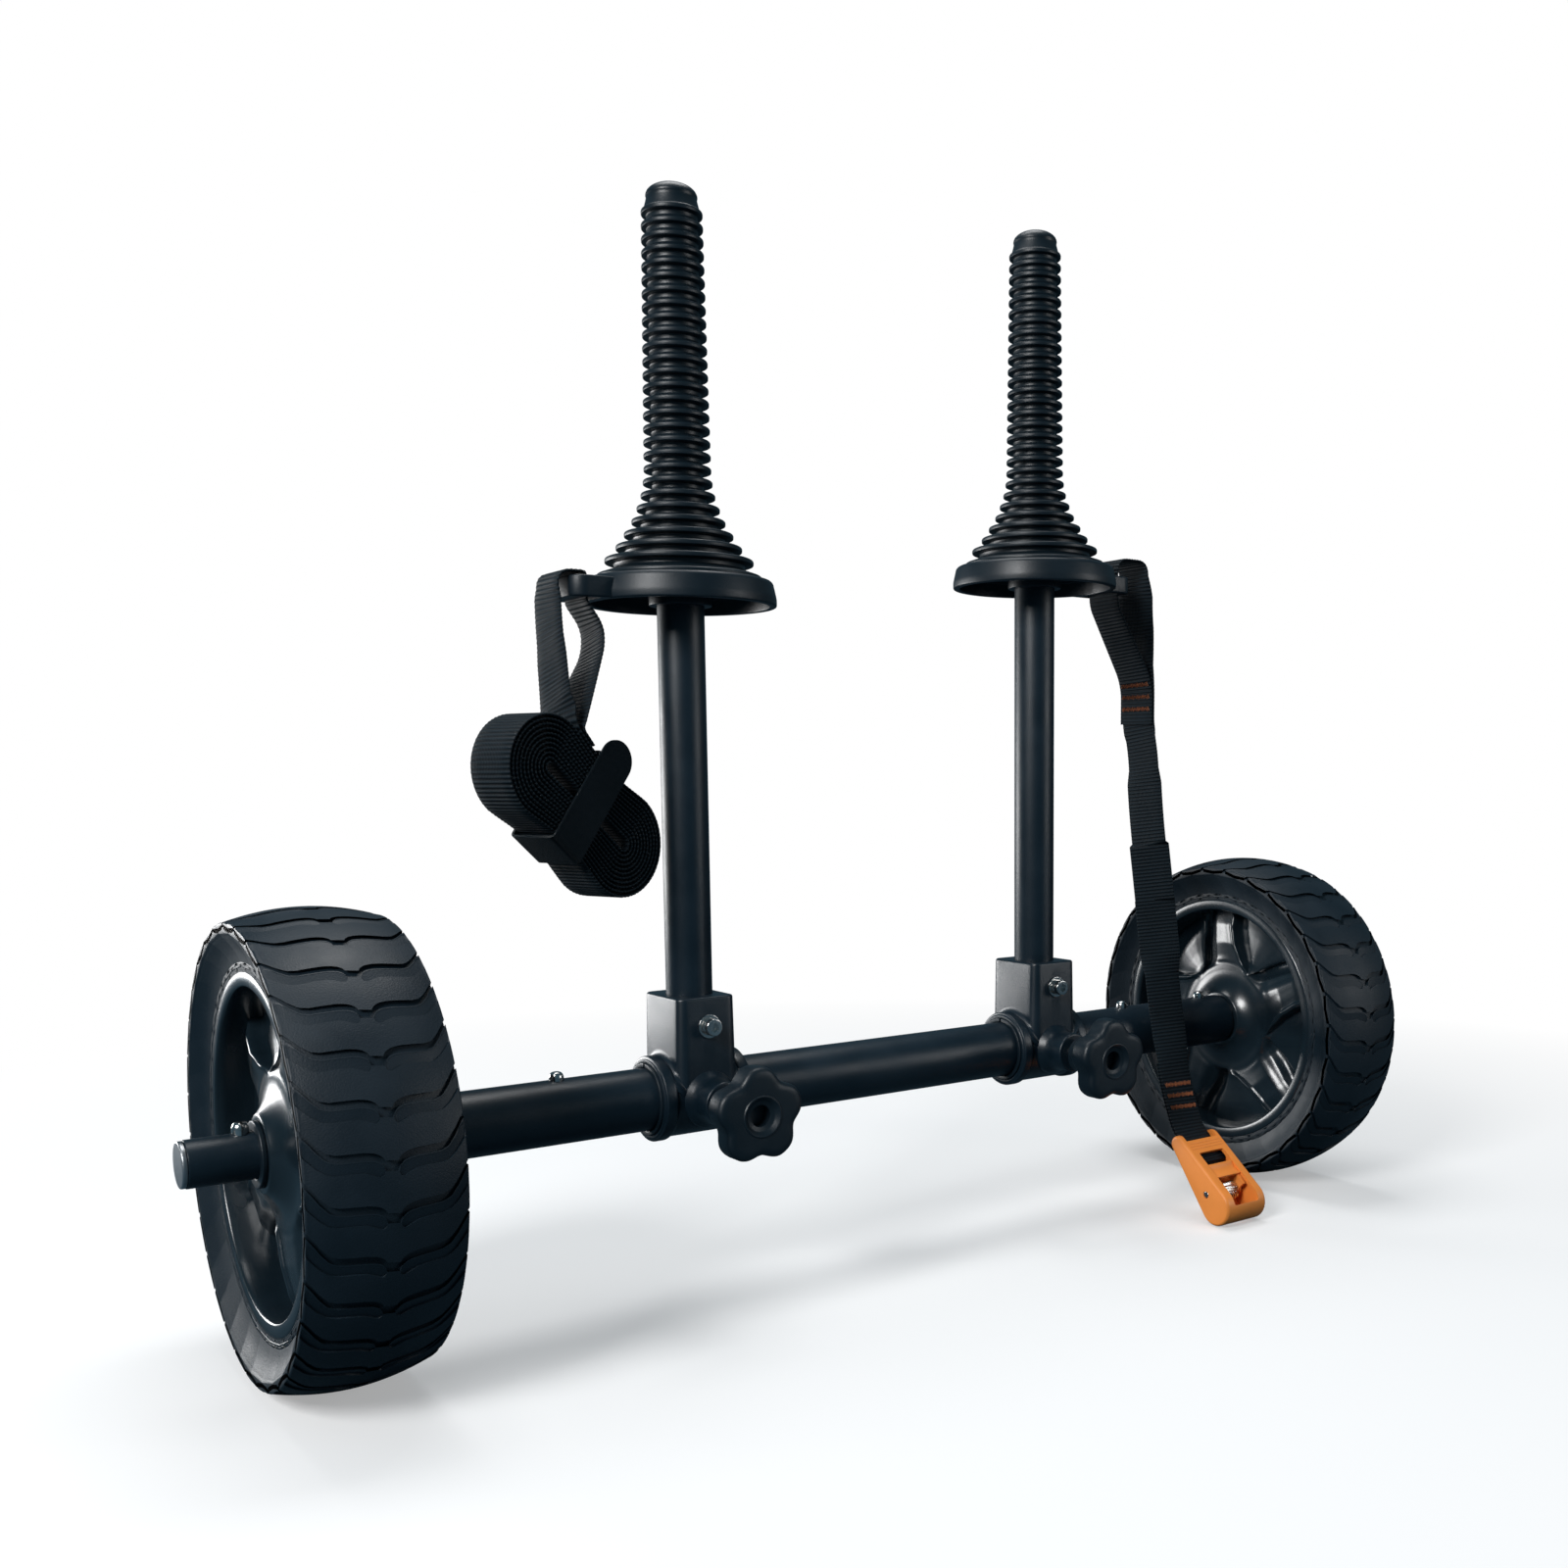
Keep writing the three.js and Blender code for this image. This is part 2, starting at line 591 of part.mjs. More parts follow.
function postBolt() {
  const seat = -BLOCK_Y / 2 - WASHER - 2 * GAP;
  const end = BLOCK_Y / 2 + GAP + NUT + BOLT_TAIL;
  const head = BOLT_HEAD_DIAMETER / 2;
  const profile = [
    [seat - BOLT_HEAD, 0],
    [seat - BOLT_HEAD, head],
    [seat, head],
    [seat, BOLT_DIAMETER / 2],
    [end, BOLT_DIAMETER / 2],
    [end, 0],
  ];
  const socketRadius = (BOLT_SOCKET / 2) * HEX_CORNER_SHARE;
  const socketFloor = seat - BOLT_HEAD + BOLT_SOCKET_DEPTH;
  const socket = rod(seat - BOLT_HEAD - OVERRUN, socketFloor, socketRadius, "y", 6);
  return turned(profile, "y", SMALL_ROUND).subtract(socket).translate([0, 0, BOLT_HEIGHT]);
}

function postWasher() {
  const face = -BLOCK_Y / 2 - GAP;
  const ring = pipe(face - WASHER, face, BOLT_HOLE_RADIUS, WASHER_DIAMETER / 2, "y", SMALL_ROUND);
  return ring.translate([0, 0, BOLT_HEIGHT]);
}

function postNut() {
  const face = BLOCK_Y / 2 + GAP;
  const nut = rod(face, face + NUT, (NUT_ACROSS / 2) * HEX_CORNER_SHARE, "y", 6);
  return nut.translate([0, 0, BOLT_HEIGHT]).subtract(boltHole());
}

// Star knob and its screw, on the -Y side

function starShape() {
  const points = [];
  const steps = KNOB_LOBES * 6;
  for (let i = 0; i < steps; i++) {
    const angle = (2 * Math.PI * i) / steps;
    const wave = (1 - Math.cos(KNOB_LOBES * angle)) / 2;
    const radius = KNOB_DIAMETER / 2 - KNOB_VALLEY * wave * wave;
    points.push(new THREE.Vector2(radius * Math.sin(angle), radius * Math.cos(angle)));
  }
  return new THREE.Shape(points);
}

function starKnob() {
  const lobes = raised(starShape(), KNOB_THICKNESS, KNOB_ROUND).rotateX(Math.PI / 2);
  const head = solid(lobes.translate(0, -(KNOB_BACK + KNOB_FRONT) / 2, 0));
  const neckEnd = KNOB_NECK - KNOB_BACK;
  const neck = rod(-KNOB_BACK - KNOB_ROUND, neckEnd, KNOB_NECK_DIAMETER / 2, "y", MEDIUM_ROUND);
  const dish = [
    [-KNOB_FRONT - OVERRUN, 0],
    [-KNOB_FRONT - OVERRUN, KNOB_DISH_DIAMETER / 2],
    [-KNOB_FRONT, KNOB_DISH_DIAMETER / 2],
    [KNOB_DISH - KNOB_FRONT, KNOB_HOLE_DIAMETER / 2],
    [KNOB_HOLE - KNOB_FRONT, KNOB_HOLE_DIAMETER / 2],
    [KNOB_HOLE - KNOB_FRONT, 0],
  ];
  const studHole = rod(-KNOB_BACK - STUD_IN_HEAD - GAP, 0, STUD_RADIUS + GAP, "y", SMALL_ROUND);
  return head.add(neck).subtract(turned(dish, "y", MEDIUM_ROUND)).subtract(studHole);
}

const knobStud = () =>
  rod(-KNOB_BACK - STUD_IN_HEAD, -BUSHING_OUTER - PAD - 2 * GAP, STUD_RADIUS, "y", SMALL_ROUND);

const pressurePad = () =>
  rod(-BUSHING_OUTER - PAD - GAP, -BUSHING_OUTER - GAP, STUD_RADIUS, "y", SMALL_ROUND);

// Posts

function postTube(plateHeight) {
  const head = plateHeight + PLATE_SEAT - GAP;
  const tube = pipe(SOCKET_FLOOR + GAP, head, POST_RADIUS - POST_WALL, POST_RADIUS, "z");
  return tube.subtract(boltHole());
}

// Thinner tube that runs up from inside the post and stiffens the sleeve.
function postCore(plateHeight) {
  const top = plateHeight + PLATE_HEIGHT + SLEEVE_HEIGHT - CAP_WALL - CAP_DOME;
  const inside = CORE_RADIUS - CORE_WALL;
  return pipe(plateHeight - CORE_IN_POST, top, inside, CORE_RADIUS, "z", SLEEVE_ROUND);
}

function earShape() {
  const shape = new THREE.Shape();
  const corner = EAR_REACH - EAR_CORNER;
  const width = EAR_HALF_WIDTH - EAR_CORNER;
  shape.moveTo(0, -EAR_HALF_WIDTH);
  shape.absarc(corner, -width, EAR_CORNER, -Math.PI / 2, 0);
  shape.absarc(corner, width, EAR_CORNER, 0, Math.PI / 2);
  shape.lineTo(0, EAR_HALF_WIDTH);
  return shape;
}

// Plate that the hull stands on, hollow below, with a slotted ear towards +X.
function postPlate() {
  const ceiling = PLATE_HEIGHT - PLATE_TOP;
  const inside = PLATE_DIAMETER / 2 - PLATE_RIM;
  const seat = PLATE_HEIGHT - SKIRT_SEAT;
  const seatRadius = SKIRT_DIAMETER / 2 + GAP;
  const profile = [
    [ceiling, 0],
    [ceiling, inside],
    [0, inside],
    [0, PLATE_DIAMETER / 2],
    [PLATE_RIM, PLATE_DIAMETER / 2],
    [PLATE_HEIGHT, PLATE_TOP_DIAMETER / 2],
    [PLATE_HEIGHT, seatRadius],
    [seat, seatRadius],
    [seat, 0],
  ];
  const ear = solid(raised(earShape(), EAR_HEIGHT).translate(0, 0, EAR_HEIGHT / 2));
  const hollow = box([0, -EAR_HALF_WIDTH, -OVERRUN], [inside, EAR_HALF_WIDTH, ceiling]);
  const slot = box(
    [EAR_SLOT_AT - EAR_SLOT_WIDTH / 2, -EAR_SLOT_LENGTH / 2, -OVERRUN],
    [EAR_SLOT_AT + EAR_SLOT_WIDTH / 2, EAR_SLOT_LENGTH / 2, PLATE_HEIGHT + OVERRUN],
  );
  const boss = rod(0, seat - SKIRT_SEAT, PLATE_BOSS_DIAMETER / 2, "z");
  return turned(profile, "z")
    .add(ear.subtract(hollow))
    .add(boss)
    .subtract(slot)
    .subtract(rod(-OVERRUN, PLATE_SEAT, POST_RADIUS + GAP, "z"))
    .subtract(rod(-OVERRUN, PLATE_HEIGHT + OVERRUN, CORE_RADIUS + GAP, "z", SLEEVE_ROUND));
}

// Ribbed rubber sleeve that widens to a skirt on the plate.
function ribbedSleeve() {
  const groove = SLEEVE_GROOVE_DIAMETER / 2;
  const bore = CORE_RADIUS + GAP;
  const pitch = (SLEEVE_HEIGHT - CAP_DOME - SKIRT_EDGE) / (SLEEVE_RIBS + 1);
  const flares = FLARE_SHARES.length;
  const base = GAP - SKIRT_SEAT;
  const profile = [[base, bore], [base, SKIRT_DIAMETER / 2], [SKIRT_EDGE, SKIRT_DIAMETER / 2]];
  for (let i = 0; i < SLEEVE_RIBS; i++) {
    const share = (i - flares) / (SLEEVE_RIBS - 1 - flares);
    const plain = THREE.MathUtils.lerp(RIB_LOW_DIAMETER, RIB_TOP_DIAMETER, share) / 2;
    const crest = i < flares ? (SKIRT_DIAMETER * FLARE_SHARES[i]) / 2 : plain;
    const middle = SKIRT_EDGE + pitch * (i + 1);
    profile.push([middle - pitch / 2, Math.max(groove, crest - FLARE_GROOVE_DEPTH)]);
    profile.push([middle, crest]);
  }
  const inside = SLEEVE_HEIGHT - CAP_DOME - CAP_WALL + GAP;
  profile.push([SLEEVE_HEIGHT - CAP_DOME, groove]);
  profile.push(...dome(SLEEVE_HEIGHT, groove, CAP_DOME).slice(1));
  profile.push([inside, 0], [inside, bore], [base, bore]);
  const points = profile.map(([along, radius]) => new THREE.Vector2(radius, along));
  return solid(new THREE.LatheGeometry(points, SLEEVE_ROUND).rotateX(Math.PI / 2));
}

// Straps

const vector = (x, y, z) => new THREE.Vector3(x, y, z);

// The band's width runs level: its turn is counted in degrees from -Y towards +X.
function widthAt(turn) {
  const angle = THREE.MathUtils.degToRad(turn);
  return vector(Math.sin(angle), -Math.cos(angle), 0);
}

// The level direction square to the width.
const faceAt = (turn) => widthAt(turn + 90);

// A closed flat band along a line of places, each with its turn or with the direction of its width.
function ribbon(line, width, gauge) {
  const positions = [];
  const triangles = [];
  line.forEach(({ at, across }, i) => {
    const before = line[Math.max(i - 1, 0)].at;
    const after = line[Math.min(i + 1, line.length - 1)].at;
    const along = after.clone().sub(before).normalize();
    const wide = across.clone().addScaledVector(along, -across.dot(along)).normalize();
    const face = along.clone().cross(wide);
    for (const [u, v] of [[-1, -1], [1, -1], [1, 1], [-1, 1]]) {
      const corner = at.clone().addScaledVector(wide, (u * width) / 2);
      positions.push(...corner.addScaledVector(face, (v * gauge) / 2).toArray());
    }
    if (i === 0) return;
    const now = i * 4;
    const then = now - 4;
    for (let k = 0; k < 4; k++) {
      const next = (k + 1) % 4;
      triangles.push(then + k, then + next, now + next, then + k, now + next, now + k);
    }
  });
  const last = (line.length - 1) * 4;
  triangles.push(0, 2, 1, 0, 3, 2, last, last + 1, last + 2, last, last + 2, last + 3);
  const geometry = new THREE.BufferGeometry();
  geometry.setAttribute("position", new THREE.BufferAttribute(new Float32Array(positions), 3));
  return solid(geometry.setIndex(triangles));
}

// Rows of { at, turn, cut } as a line: each corner is rounded off over its cut, long runs are divided.
function strapLine(rows) {
  const bends = [];
  rows.forEach(({ at, turn, cut = 0 }, i) => {
    if (cut === 0) {
      bends.push({ at, turn });
      return;
    }
    const before = rows[i - 1].at;
    const after = rows[i + 1].at;
    const [back, on] = [before.distanceTo(at), after.distanceTo(at)];
    const reach = Math.min(cut, back / 2, on / 2);
    const from = at.clone().lerp(before, reach / back);
    const to = at.clone().lerp(after, reach / on);
    const bend = new THREE.QuadraticBezierCurve3(from, at, to);
    for (const place of bend.getPoints(BEND_STEPS)) bends.push({ at: place, turn });
  });
  const line = [];
  bends.forEach((place, i) => {
    if (i > 0) {
      const previous = bends[i - 1];
      const parts = Math.ceil(previous.at.distanceTo(place.at) / STRAP_STEP);
      if (parts === 0) return;
      for (let k = 1; k < parts; k++) {
        const at = previous.at.clone().lerp(place.at, k / parts);
        line.push({ at, turn: THREE.MathUtils.lerp(previous.turn, place.turn, k / parts) });
      }
    }
    line.push(place);
  });
  return line.map(({ at, turn }) => ({ at, across: widthAt(turn) }));
}

// The least clear distance between stretches of a line that are more than a given way apart along it.
function leastGap(line, gauge, apart) {
  const along = [0];
  for (let i = 1; i < line.length; i++) along.push(along[i - 1] + line[i].at.distanceTo(line[i - 1].at));
  let least = Infinity;
  for (let i = 0; i < line.length; i++) {
    for (let j = i + 1; j < line.length; j++) {
      if (along[j] - along[i] > apart) least = Math.min(least, line[i].at.distanceTo(line[j].at));
    }
  }
  return { length: along[along.length - 1], gap: least - gauge };
}

function report(name, { length, gap }) {
  console.log(name + ": " + length.toFixed(0) + " mm long, least gap to itself " + gap.toFixed(2) + " mm");
}

// A place out from the post, forward of it and below the plate, on the side's own half.
const strapPlace = (side, plateHeight, { out, front, drop }) =>
  vector(side * out, -front, plateHeight - drop);

// The loop through the ear's slot, from below the ear on its inner side to below it on the outer one.
function earLoop(side, plateHeight, loop) {
  const inner = EAR_SLOT_AT + EAR_SLOT_WIDTH / 2 - GAP - WEB_GAUGE / 2;
  const outer = EAR_REACH + loop.slack;
  const top = EAR_HEIGHT + loop.rise;
  const level = (out, rise) => vector(side * out, 0, plateHeight + rise);
  return [
    { at: level(inner, -loop.bend), turn: 0, cut: loop.bend },
    { at: level(inner, top), turn: 0, cut: loop.corner },
    { at: level(outer, top), turn: 0, cut: LOOP_ROUND },
    { at: level(outer, -BELLY_DROP), turn: loop.turn, cut: SEAM_ROUND },
  ];
}

// Left strap: its loop, then the long tail wound into a flat roll.
function rollFrame() {
  const upper = strapPlace(-1, LEFT_PLATE_HEIGHT, ROLL_UPPER);
  const lower = strapPlace(-1, LEFT_PLATE_HEIGHT, ROLL_LOWER);
  const across = widthAt(ROLL_TURN);
  const along = lower.clone().sub(upper);
  along.addScaledVector(across, -along.dot(across));
  const span = along.length();
  along.normalize();
  const up = across.clone().cross(along);
  if (up.z < 0) up.negate();
  return { upper, across, along, up, span };
}

const ROLL_OUTER = ROLL_CORE + ROLL_TURNS * ROLL_PITCH;

// Half a turn at a time: a run that is drawn in at the waist, then a half circle.
function rollLine() {
  const { upper, across, along, up, span } = rollFrame();
  const line = [];
  const add = (onward, outward) => {
    const at = upper.clone().addScaledVector(along, onward).addScaledVector(up, outward);
    line.push({ at, across });
  };
  for (let half = 0; half < 2 * ROLL_TURNS; half++) {
    const start = ROLL_OUTER - (ROLL_PITCH * half) / 2;
    const sign = half % 2 === 0 ? 1 : -1;
    const centre = half % 2 === 0 ? span : 0;
    add(span - centre, sign * start);
    add(span / 2, sign * start * ROLL_WAIST_SHARE);
    for (let i = 0; i < ROLL_STEPS; i++) {
      const radius = start - (ROLL_PITCH / 2) * (i / ROLL_STEPS);
      const angle = (i / ROLL_STEPS) * Math.PI;
      add(centre + sign * radius * Math.sin(angle), sign * radius * Math.cos(angle));
    }
  }
  return line;
}

function leftStrap() {
  const roll = rollLine();
  const { upper, along, up, span } = rollFrame();
  const foot = (onward) => {
    const waistShare = (2 * onward) / span;
    const outward = ROLL_OUTER * THREE.MathUtils.lerp(1, ROLL_WAIST_SHARE, waistShare);
    return upper.clone().addScaledVector(along, onward).addScaledVector(up, outward + LAYER_PITCH);
  };
  const place = (where) => strapPlace(-1, LEFT_PLATE_HEIGHT, where);
  const rows = [
    { at: foot(FOOT_END), turn: ROLL_TURN },
    { at: foot(FOOT_START), turn: ROLL_TURN, cut: FOOT_START },
    { at: place(LEFT_INNER_KNEE), turn: 0, cut: SEAM_ROUND },
    { at: place(LEFT_INNER_BACK), turn: 0, cut: LEG_BEND },
    ...earLoop(-1, LEFT_PLATE_HEIGHT, LEFT_LOOP),
    { at: place(LEFT_OUTER_KNEE), turn: LEFT_KNEE_TURN, cut: SEAM_ROUND },
    { at: roll[0].at, turn: ROLL_TURN, cut: LEG_BEND },
    { at: roll[1].at, turn: ROLL_TURN },
  ];
  const line = [...strapLine(rows), ...roll.slice(2)];
  report("left strap", leastGap(line, WEB_GAUGE, 4 * ROLL_PITCH));
  return ribbon(line, WEB_WIDTH, WEB_GAUGE);
}

// Hook-and-loop band round the roll's waist, with its free end standing up in front.
function rollTie() {
  const { upper, across, along, up, span } = rollFrame();
  const slopeShare = ROLL_WAIST_SHARE + (1 - ROLL_WAIST_SHARE) * (TIE_WIDTH / span);
  const halfUp = ROLL_OUTER * slopeShare + WEB_GAUGE / 2 + TIE_CLEARANCE;
  const halfAcross = WEB_WIDTH / 2 + TIE_CLEARANCE;
  const outerAcross = halfAcross + TIE_GAUGE;
  const outerUp = halfUp + TIE_GAUGE;
  const outline = roundedRectangle(2 * outerAcross, 2 * outerUp, 2 * TIE_GAUGE);
  outline.holes.push(roundedRectangle(2 * halfAcross, 2 * halfUp, TIE_GAUGE));
  const tab = new THREE.Shape();
  tab.moveTo(-TIE_WIDTH / 2, 0);
  tab.absarc(0, outerUp + TIE_TAB_RISE - TIE_WIDTH / 2, TIE_WIDTH / 2, Math.PI, 0, true);
  tab.lineTo(TIE_WIDTH / 2, 0);
  const upright = raised(tab, TIE_GAUGE).rotateY(Math.PI / 2);
  upright.translate(halfAcross + TIE_GAUGE / 2, 0, 0);
  const band = solid(raised(outline, TIE_WIDTH)).add(solid(upright));
  const frame = new THREE.Matrix4().makeBasis(across, up, across.clone().cross(up));
  frame.setPosition(upper.addScaledVector(along, span / 2));
  return band.transform(frame.toArray());
}

// Right strap: its loop, a free hanging length, and a sewn loop round the buckle's bar.
function bucklePlace(down, out) {
  const tilt = THREE.MathUtils.degToRad(BUCKLE_TILT);
  const place = strapPlace(1, RIGHT_PLATE_HEIGHT, BUCKLE_AT);
  place.y -= down * Math.cos(tilt) + out * Math.sin(tilt);
  place.z += out * Math.cos(tilt) - down * Math.sin(tilt);
  return place;
}

function rightStrap() {
  const { turn, length } = RIGHT_SEAM;
  const seamTop = strapPlace(1, RIGHT_PLATE_HEIGHT, RIGHT_SEAM);
  const apart = faceAt(turn).multiplyScalar(LAYER_PITCH / 2);
  const [innerTop, outerTop] = [seamTop.clone().sub(apart), seamTop.clone().add(apart)];
  const start = { at: outerTop.clone().setZ(outerTop.z - length), turn, cut: SEAM_ROUND / 2 };
  const rows = [
    { at: innerTop.clone().setZ(innerTop.z - length), turn },
    { at: innerTop, turn, cut: SEAM_ROUND },
    ...earLoop(1, RIGHT_PLATE_HEIGHT, RIGHT_LOOP),
    { at: outerTop, turn, cut: SEAM_ROUND },
    start,
  ];
  const half = LAYER_PITCH / 2;
  const entry = bucklePlace(-LEG_BEND, half);
  for (const [out, front, drop, turn] of HANG_SHARES) {
    const at = vector(
      THREE.MathUtils.lerp(start.at.x, entry.x, out),
      THREE.MathUtils.lerp(start.at.y, entry.y, front),
      THREE.MathUtils.lerp(start.at.z, entry.z, drop),
    );
    rows.push({ at, turn: THREE.MathUtils.lerp(start.turn, 90, turn), cut: HANG_ROUND });
  }
  const lastKnee = rows[rows.length - 1];
  const wrap = STRAP_BAR_DIAMETER / 2 + GAP + WEB_GAUGE / 2;
  rows.push({ at: entry, turn: 90, cut: LEG_BEND });
  rows.push({ at: bucklePlace(STRAP_BAR_AT - 2 * wrap, half), turn: 90, cut: wrap });
  for (let i = 0; i <= 6; i++) {
    const angle = (i / 6) * Math.PI;
    const [down, out] = [STRAP_BAR_AT + wrap * Math.sin(angle), wrap * Math.cos(angle)];
    rows.push({ at: bucklePlace(down, out), turn: 90 });
  }
  rows.push({ at: bucklePlace(STRAP_BAR_AT - 2 * wrap, -half), turn: 90, cut: wrap });
  rows.push({ at: bucklePlace(-LEG_BEND, -half), turn: 90, cut: LEG_BEND });
  const behind = faceAt(lastKnee.turn).multiplyScalar(LAYER_PITCH);
  rows.push({ at: lastKnee.at.clone().add(behind), turn: lastKnee.turn, cut: LEG_BEND });
  const upper = rows[rows.indexOf(lastKnee) - 1];
  const reach = BUCKLE_SEAM - lastKnee.at.distanceTo(entry);
  const onward = upper.at.clone().sub(lastKnee.at).setLength(reach);
  rows.push({ at: lastKnee.at.clone().add(behind).add(onward), turn: lastKnee.turn });
  const line = strapLine(rows);
  report("right strap", leastGap(line, WEB_GAUGE, 4 * LAYER_PITCH));
  return ribbon(line, WEB_WIDTH, WEB_GAUGE);
}

// Buckle, in its own frame: x across, y back up the strap, z out of its front

function tearShape(topRadius, endRadius) {
  const lean = Math.asin((endRadius - topRadius) / (BUCKLE_END_AT - BUCKLE_TOP_RADIUS));
  const shape = new THREE.Shape();
  shape.absarc(BUCKLE_TOP_RADIUS, 0, topRadius, Math.PI / 2 + lean, Math.PI * 1.5 - lean);
  shape.absarc(BUCKLE_END_AT, 0, endRadius, -Math.PI / 2 - lean, Math.PI / 2 + lean);
  return shape;
}

// How far the buckle's front stands out at a place down its length.
function frontAt(down) {
  const rise = (BUCKLE_END_RADIUS - BUCKLE_TOP_RADIUS) / (BUCKLE_END_AT - BUCKLE_TOP_RADIUS);
  return (BUCKLE_TOP_RADIUS + (down - BUCKLE_TOP_RADIUS) * rise) / Math.sqrt(1 - rise * rise);
}

// An outline of [down, out] raised across the buckle.
function acrossBuckle(shape, width, edge) {
  return solid(raised(shape, width, edge).rotateY(-Math.PI / 2).rotateX(Math.PI / 2));
}

// A box of the given half width between two [down, out] corners.
const buckleBox = (halfWidth, [downFrom, outFrom], [downTo, outTo]) =>
  box([-halfWidth, -downTo, outFrom], [halfWidth, -downFrom, outTo]);

const acrossRod = (halfWidth, radius, down, out, segments = SMALL_ROUND) =>
  rod(-halfWidth, halfWidth, radius, "x", segments).translate([0, -down, out]);

function buckleFrame() {
  const half = BUCKLE_WIDTH / 2;
  const outer = acrossBuckle(tearShape(BUCKLE_TOP_RADIUS, BUCKLE_END_RADIUS), BUCKLE_WIDTH, BUCKLE_EDGE);
  const hollow = tearShape(BUCKLE_TOP_RADIUS - BUCKLE_SHELL, BUCKLE_END_RADIUS - BUCKLE_SHELL);
  const stack = (LAYER_PITCH + WEB_GAUGE) / 2 + GAP;
  const windowFrom = [BUCKLE_WINDOW_START, 0];
  const windowTo = [BUCKLE_WINDOW_END, BUCKLE_END_RADIUS + OVERRUN];
  const feedMiddle = -FEED_SLOT_BELOW;
  return outer
    .subtract(acrossBuckle(hollow, 2 * BUCKLE_INSIDE))
    .subtract(buckleBox(BUCKLE_WINDOW_WIDTH / 2, windowFrom, windowTo))
    .subtract(buckleBox(BUCKLE_INSIDE, [-OVERRUN, -stack], [BUCKLE_TOP_RADIUS, stack]))
    .subtract(
      buckleBox(
        BUCKLE_INSIDE,
        [BUCKLE_END_AT, feedMiddle - FEED_SLOT / 2],
        [BUCKLE_LENGTH + OVERRUN, feedMiddle + FEED_SLOT / 2],
      ),
    )
    .add(acrossRod(half - BUCKLE_EDGE, STRAP_BAR_DIAMETER / 2, STRAP_BAR_AT, 0))
    .subtract(acrossRod(half + OVERRUN, PIN_DIAMETER / 2 + GAP, PIN_AT, -PIN_DROP));
}

const bucklePin = () => acrossRod(BUCKLE_WIDTH / 2 - GAP, PIN_DIAMETER / 2, PIN_AT, -PIN_DROP);

// Sprung lever: a thumb plate flush in the window, on two lugs that turn on the pin.
function buckleLever() {
  const halfWidth = BUCKLE_WINDOW_WIDTH / 2 - GAP;
  const outerAt = (down) => frontAt(down) - LEVER_INSET;
  const plate = new THREE.Shape([
    new THREE.Vector2(LEVER_START, outerAt(LEVER_START) - LEVER_PLATE),
    new THREE.Vector2(LEVER_END, outerAt(LEVER_END) - LEVER_PLATE),
    new THREE.Vector2(LEVER_END, outerAt(LEVER_END)),
    new THREE.Vector2(LEVER_START, outerAt(LEVER_START)),
  ]);
  const hubRadius = LEVER_HUB_DIAMETER / 2;
  let lever = acrossBuckle(plate, 2 * halfWidth);
  for (const side of [-1, 1]) {
    const hub = rod(0, LEVER_LUG, hubRadius, "x", SMALL_ROUND).translate([0, -PIN_AT, -PIN_DROP]);
    const top = outerAt(LEVER_END - LEVER_LUG_LAP) - LEVER_PLATE / 2;
    const web = box([0, -PIN_AT - PIN_DIAMETER / 2, 0], [LEVER_LUG, LEVER_LUG_LAP - LEVER_END, top]);
    const inward = side > 0 ? halfWidth - LEVER_LUG : -halfWidth;
    lever = lever.add(hub.add(web).translate([inward, 0, 0]));
  }
  return lever.subtract(acrossRod(BUCKLE_WIDTH, PIN_DIAMETER / 2 + GAP, PIN_AT, -PIN_DROP));
}

// Toothed cam on the pin, fullest towards the buckle's back, where it grips the strap.
function buckleCam() {
  const points = [];
  const steps = 2 * CAM_TEETH;
  for (let i = 0; i < steps; i++) {
    const angle = (2 * Math.PI * i) / steps;
    const fall = (CAM_FALL * (1 + Math.sin(angle))) / 2;
    const radius = CAM_DIAMETER / 2 - fall - (i % 2) * CAM_TOOTH;
    points.push(new THREE.Vector2(PIN_AT + radius * Math.cos(angle), radius * Math.sin(angle) - PIN_DROP));
  }
  const cam = acrossBuckle(new THREE.Shape(points), CAM_WIDTH);
  return cam.subtract(acrossRod(CAM_WIDTH, PIN_DIAMETER / 2 + GAP, PIN_AT, -PIN_DROP));
}

// Torsion spring round the pin, between the lever and a cheek.
function buckleSpring() {
  const radius = PIN_DIAMETER / 2 + GAP + SPRING_WIRE / 2;
  const start = BUCKLE_WINDOW_WIDTH / 2 + SPRING_WIRE / 2;
  const steps = 8 * SPRING_COILS;
  const places = [vector(start, SPRING_LEG - PIN_AT, radius - PIN_DROP)];
  for (let i = 0; i <= steps; i++) {
    const angle = (2 * Math.PI * i) / 8;
    places.push(
      vector(
        start + SPRING_PITCH * (i / 8),
        -PIN_AT - radius * Math.sin(angle),
        radius * Math.cos(angle) - PIN_DROP,
      ),
    );
  }
  const end = places[places.length - 1];
  places.push(end.clone().setY(end.y + SPRING_LEG));
  const wire = new THREE.Shape();
  for (let i = 0; i < 5; i++) {
    const angle = (2 * Math.PI * i) / 5;
    const [x, y] = [(SPRING_WIRE / 2) * Math.cos(angle), (SPRING_WIRE / 2) * Math.sin(angle)];
    if (i === 0) wire.moveTo(x, y);
    else wire.lineTo(x, y);
  }
  const curve = new THREE.CatmullRomCurve3(places, false, "centripetal");
  return solid(new THREE.ExtrudeGeometry(wire, { extrudePath: curve, steps: 14 }));
}

// Assembly

const cart = new THREE.Group();
const axle = new THREE.Group();
axle.position.z = AXLE_HEIGHT;
cart.add(axle);

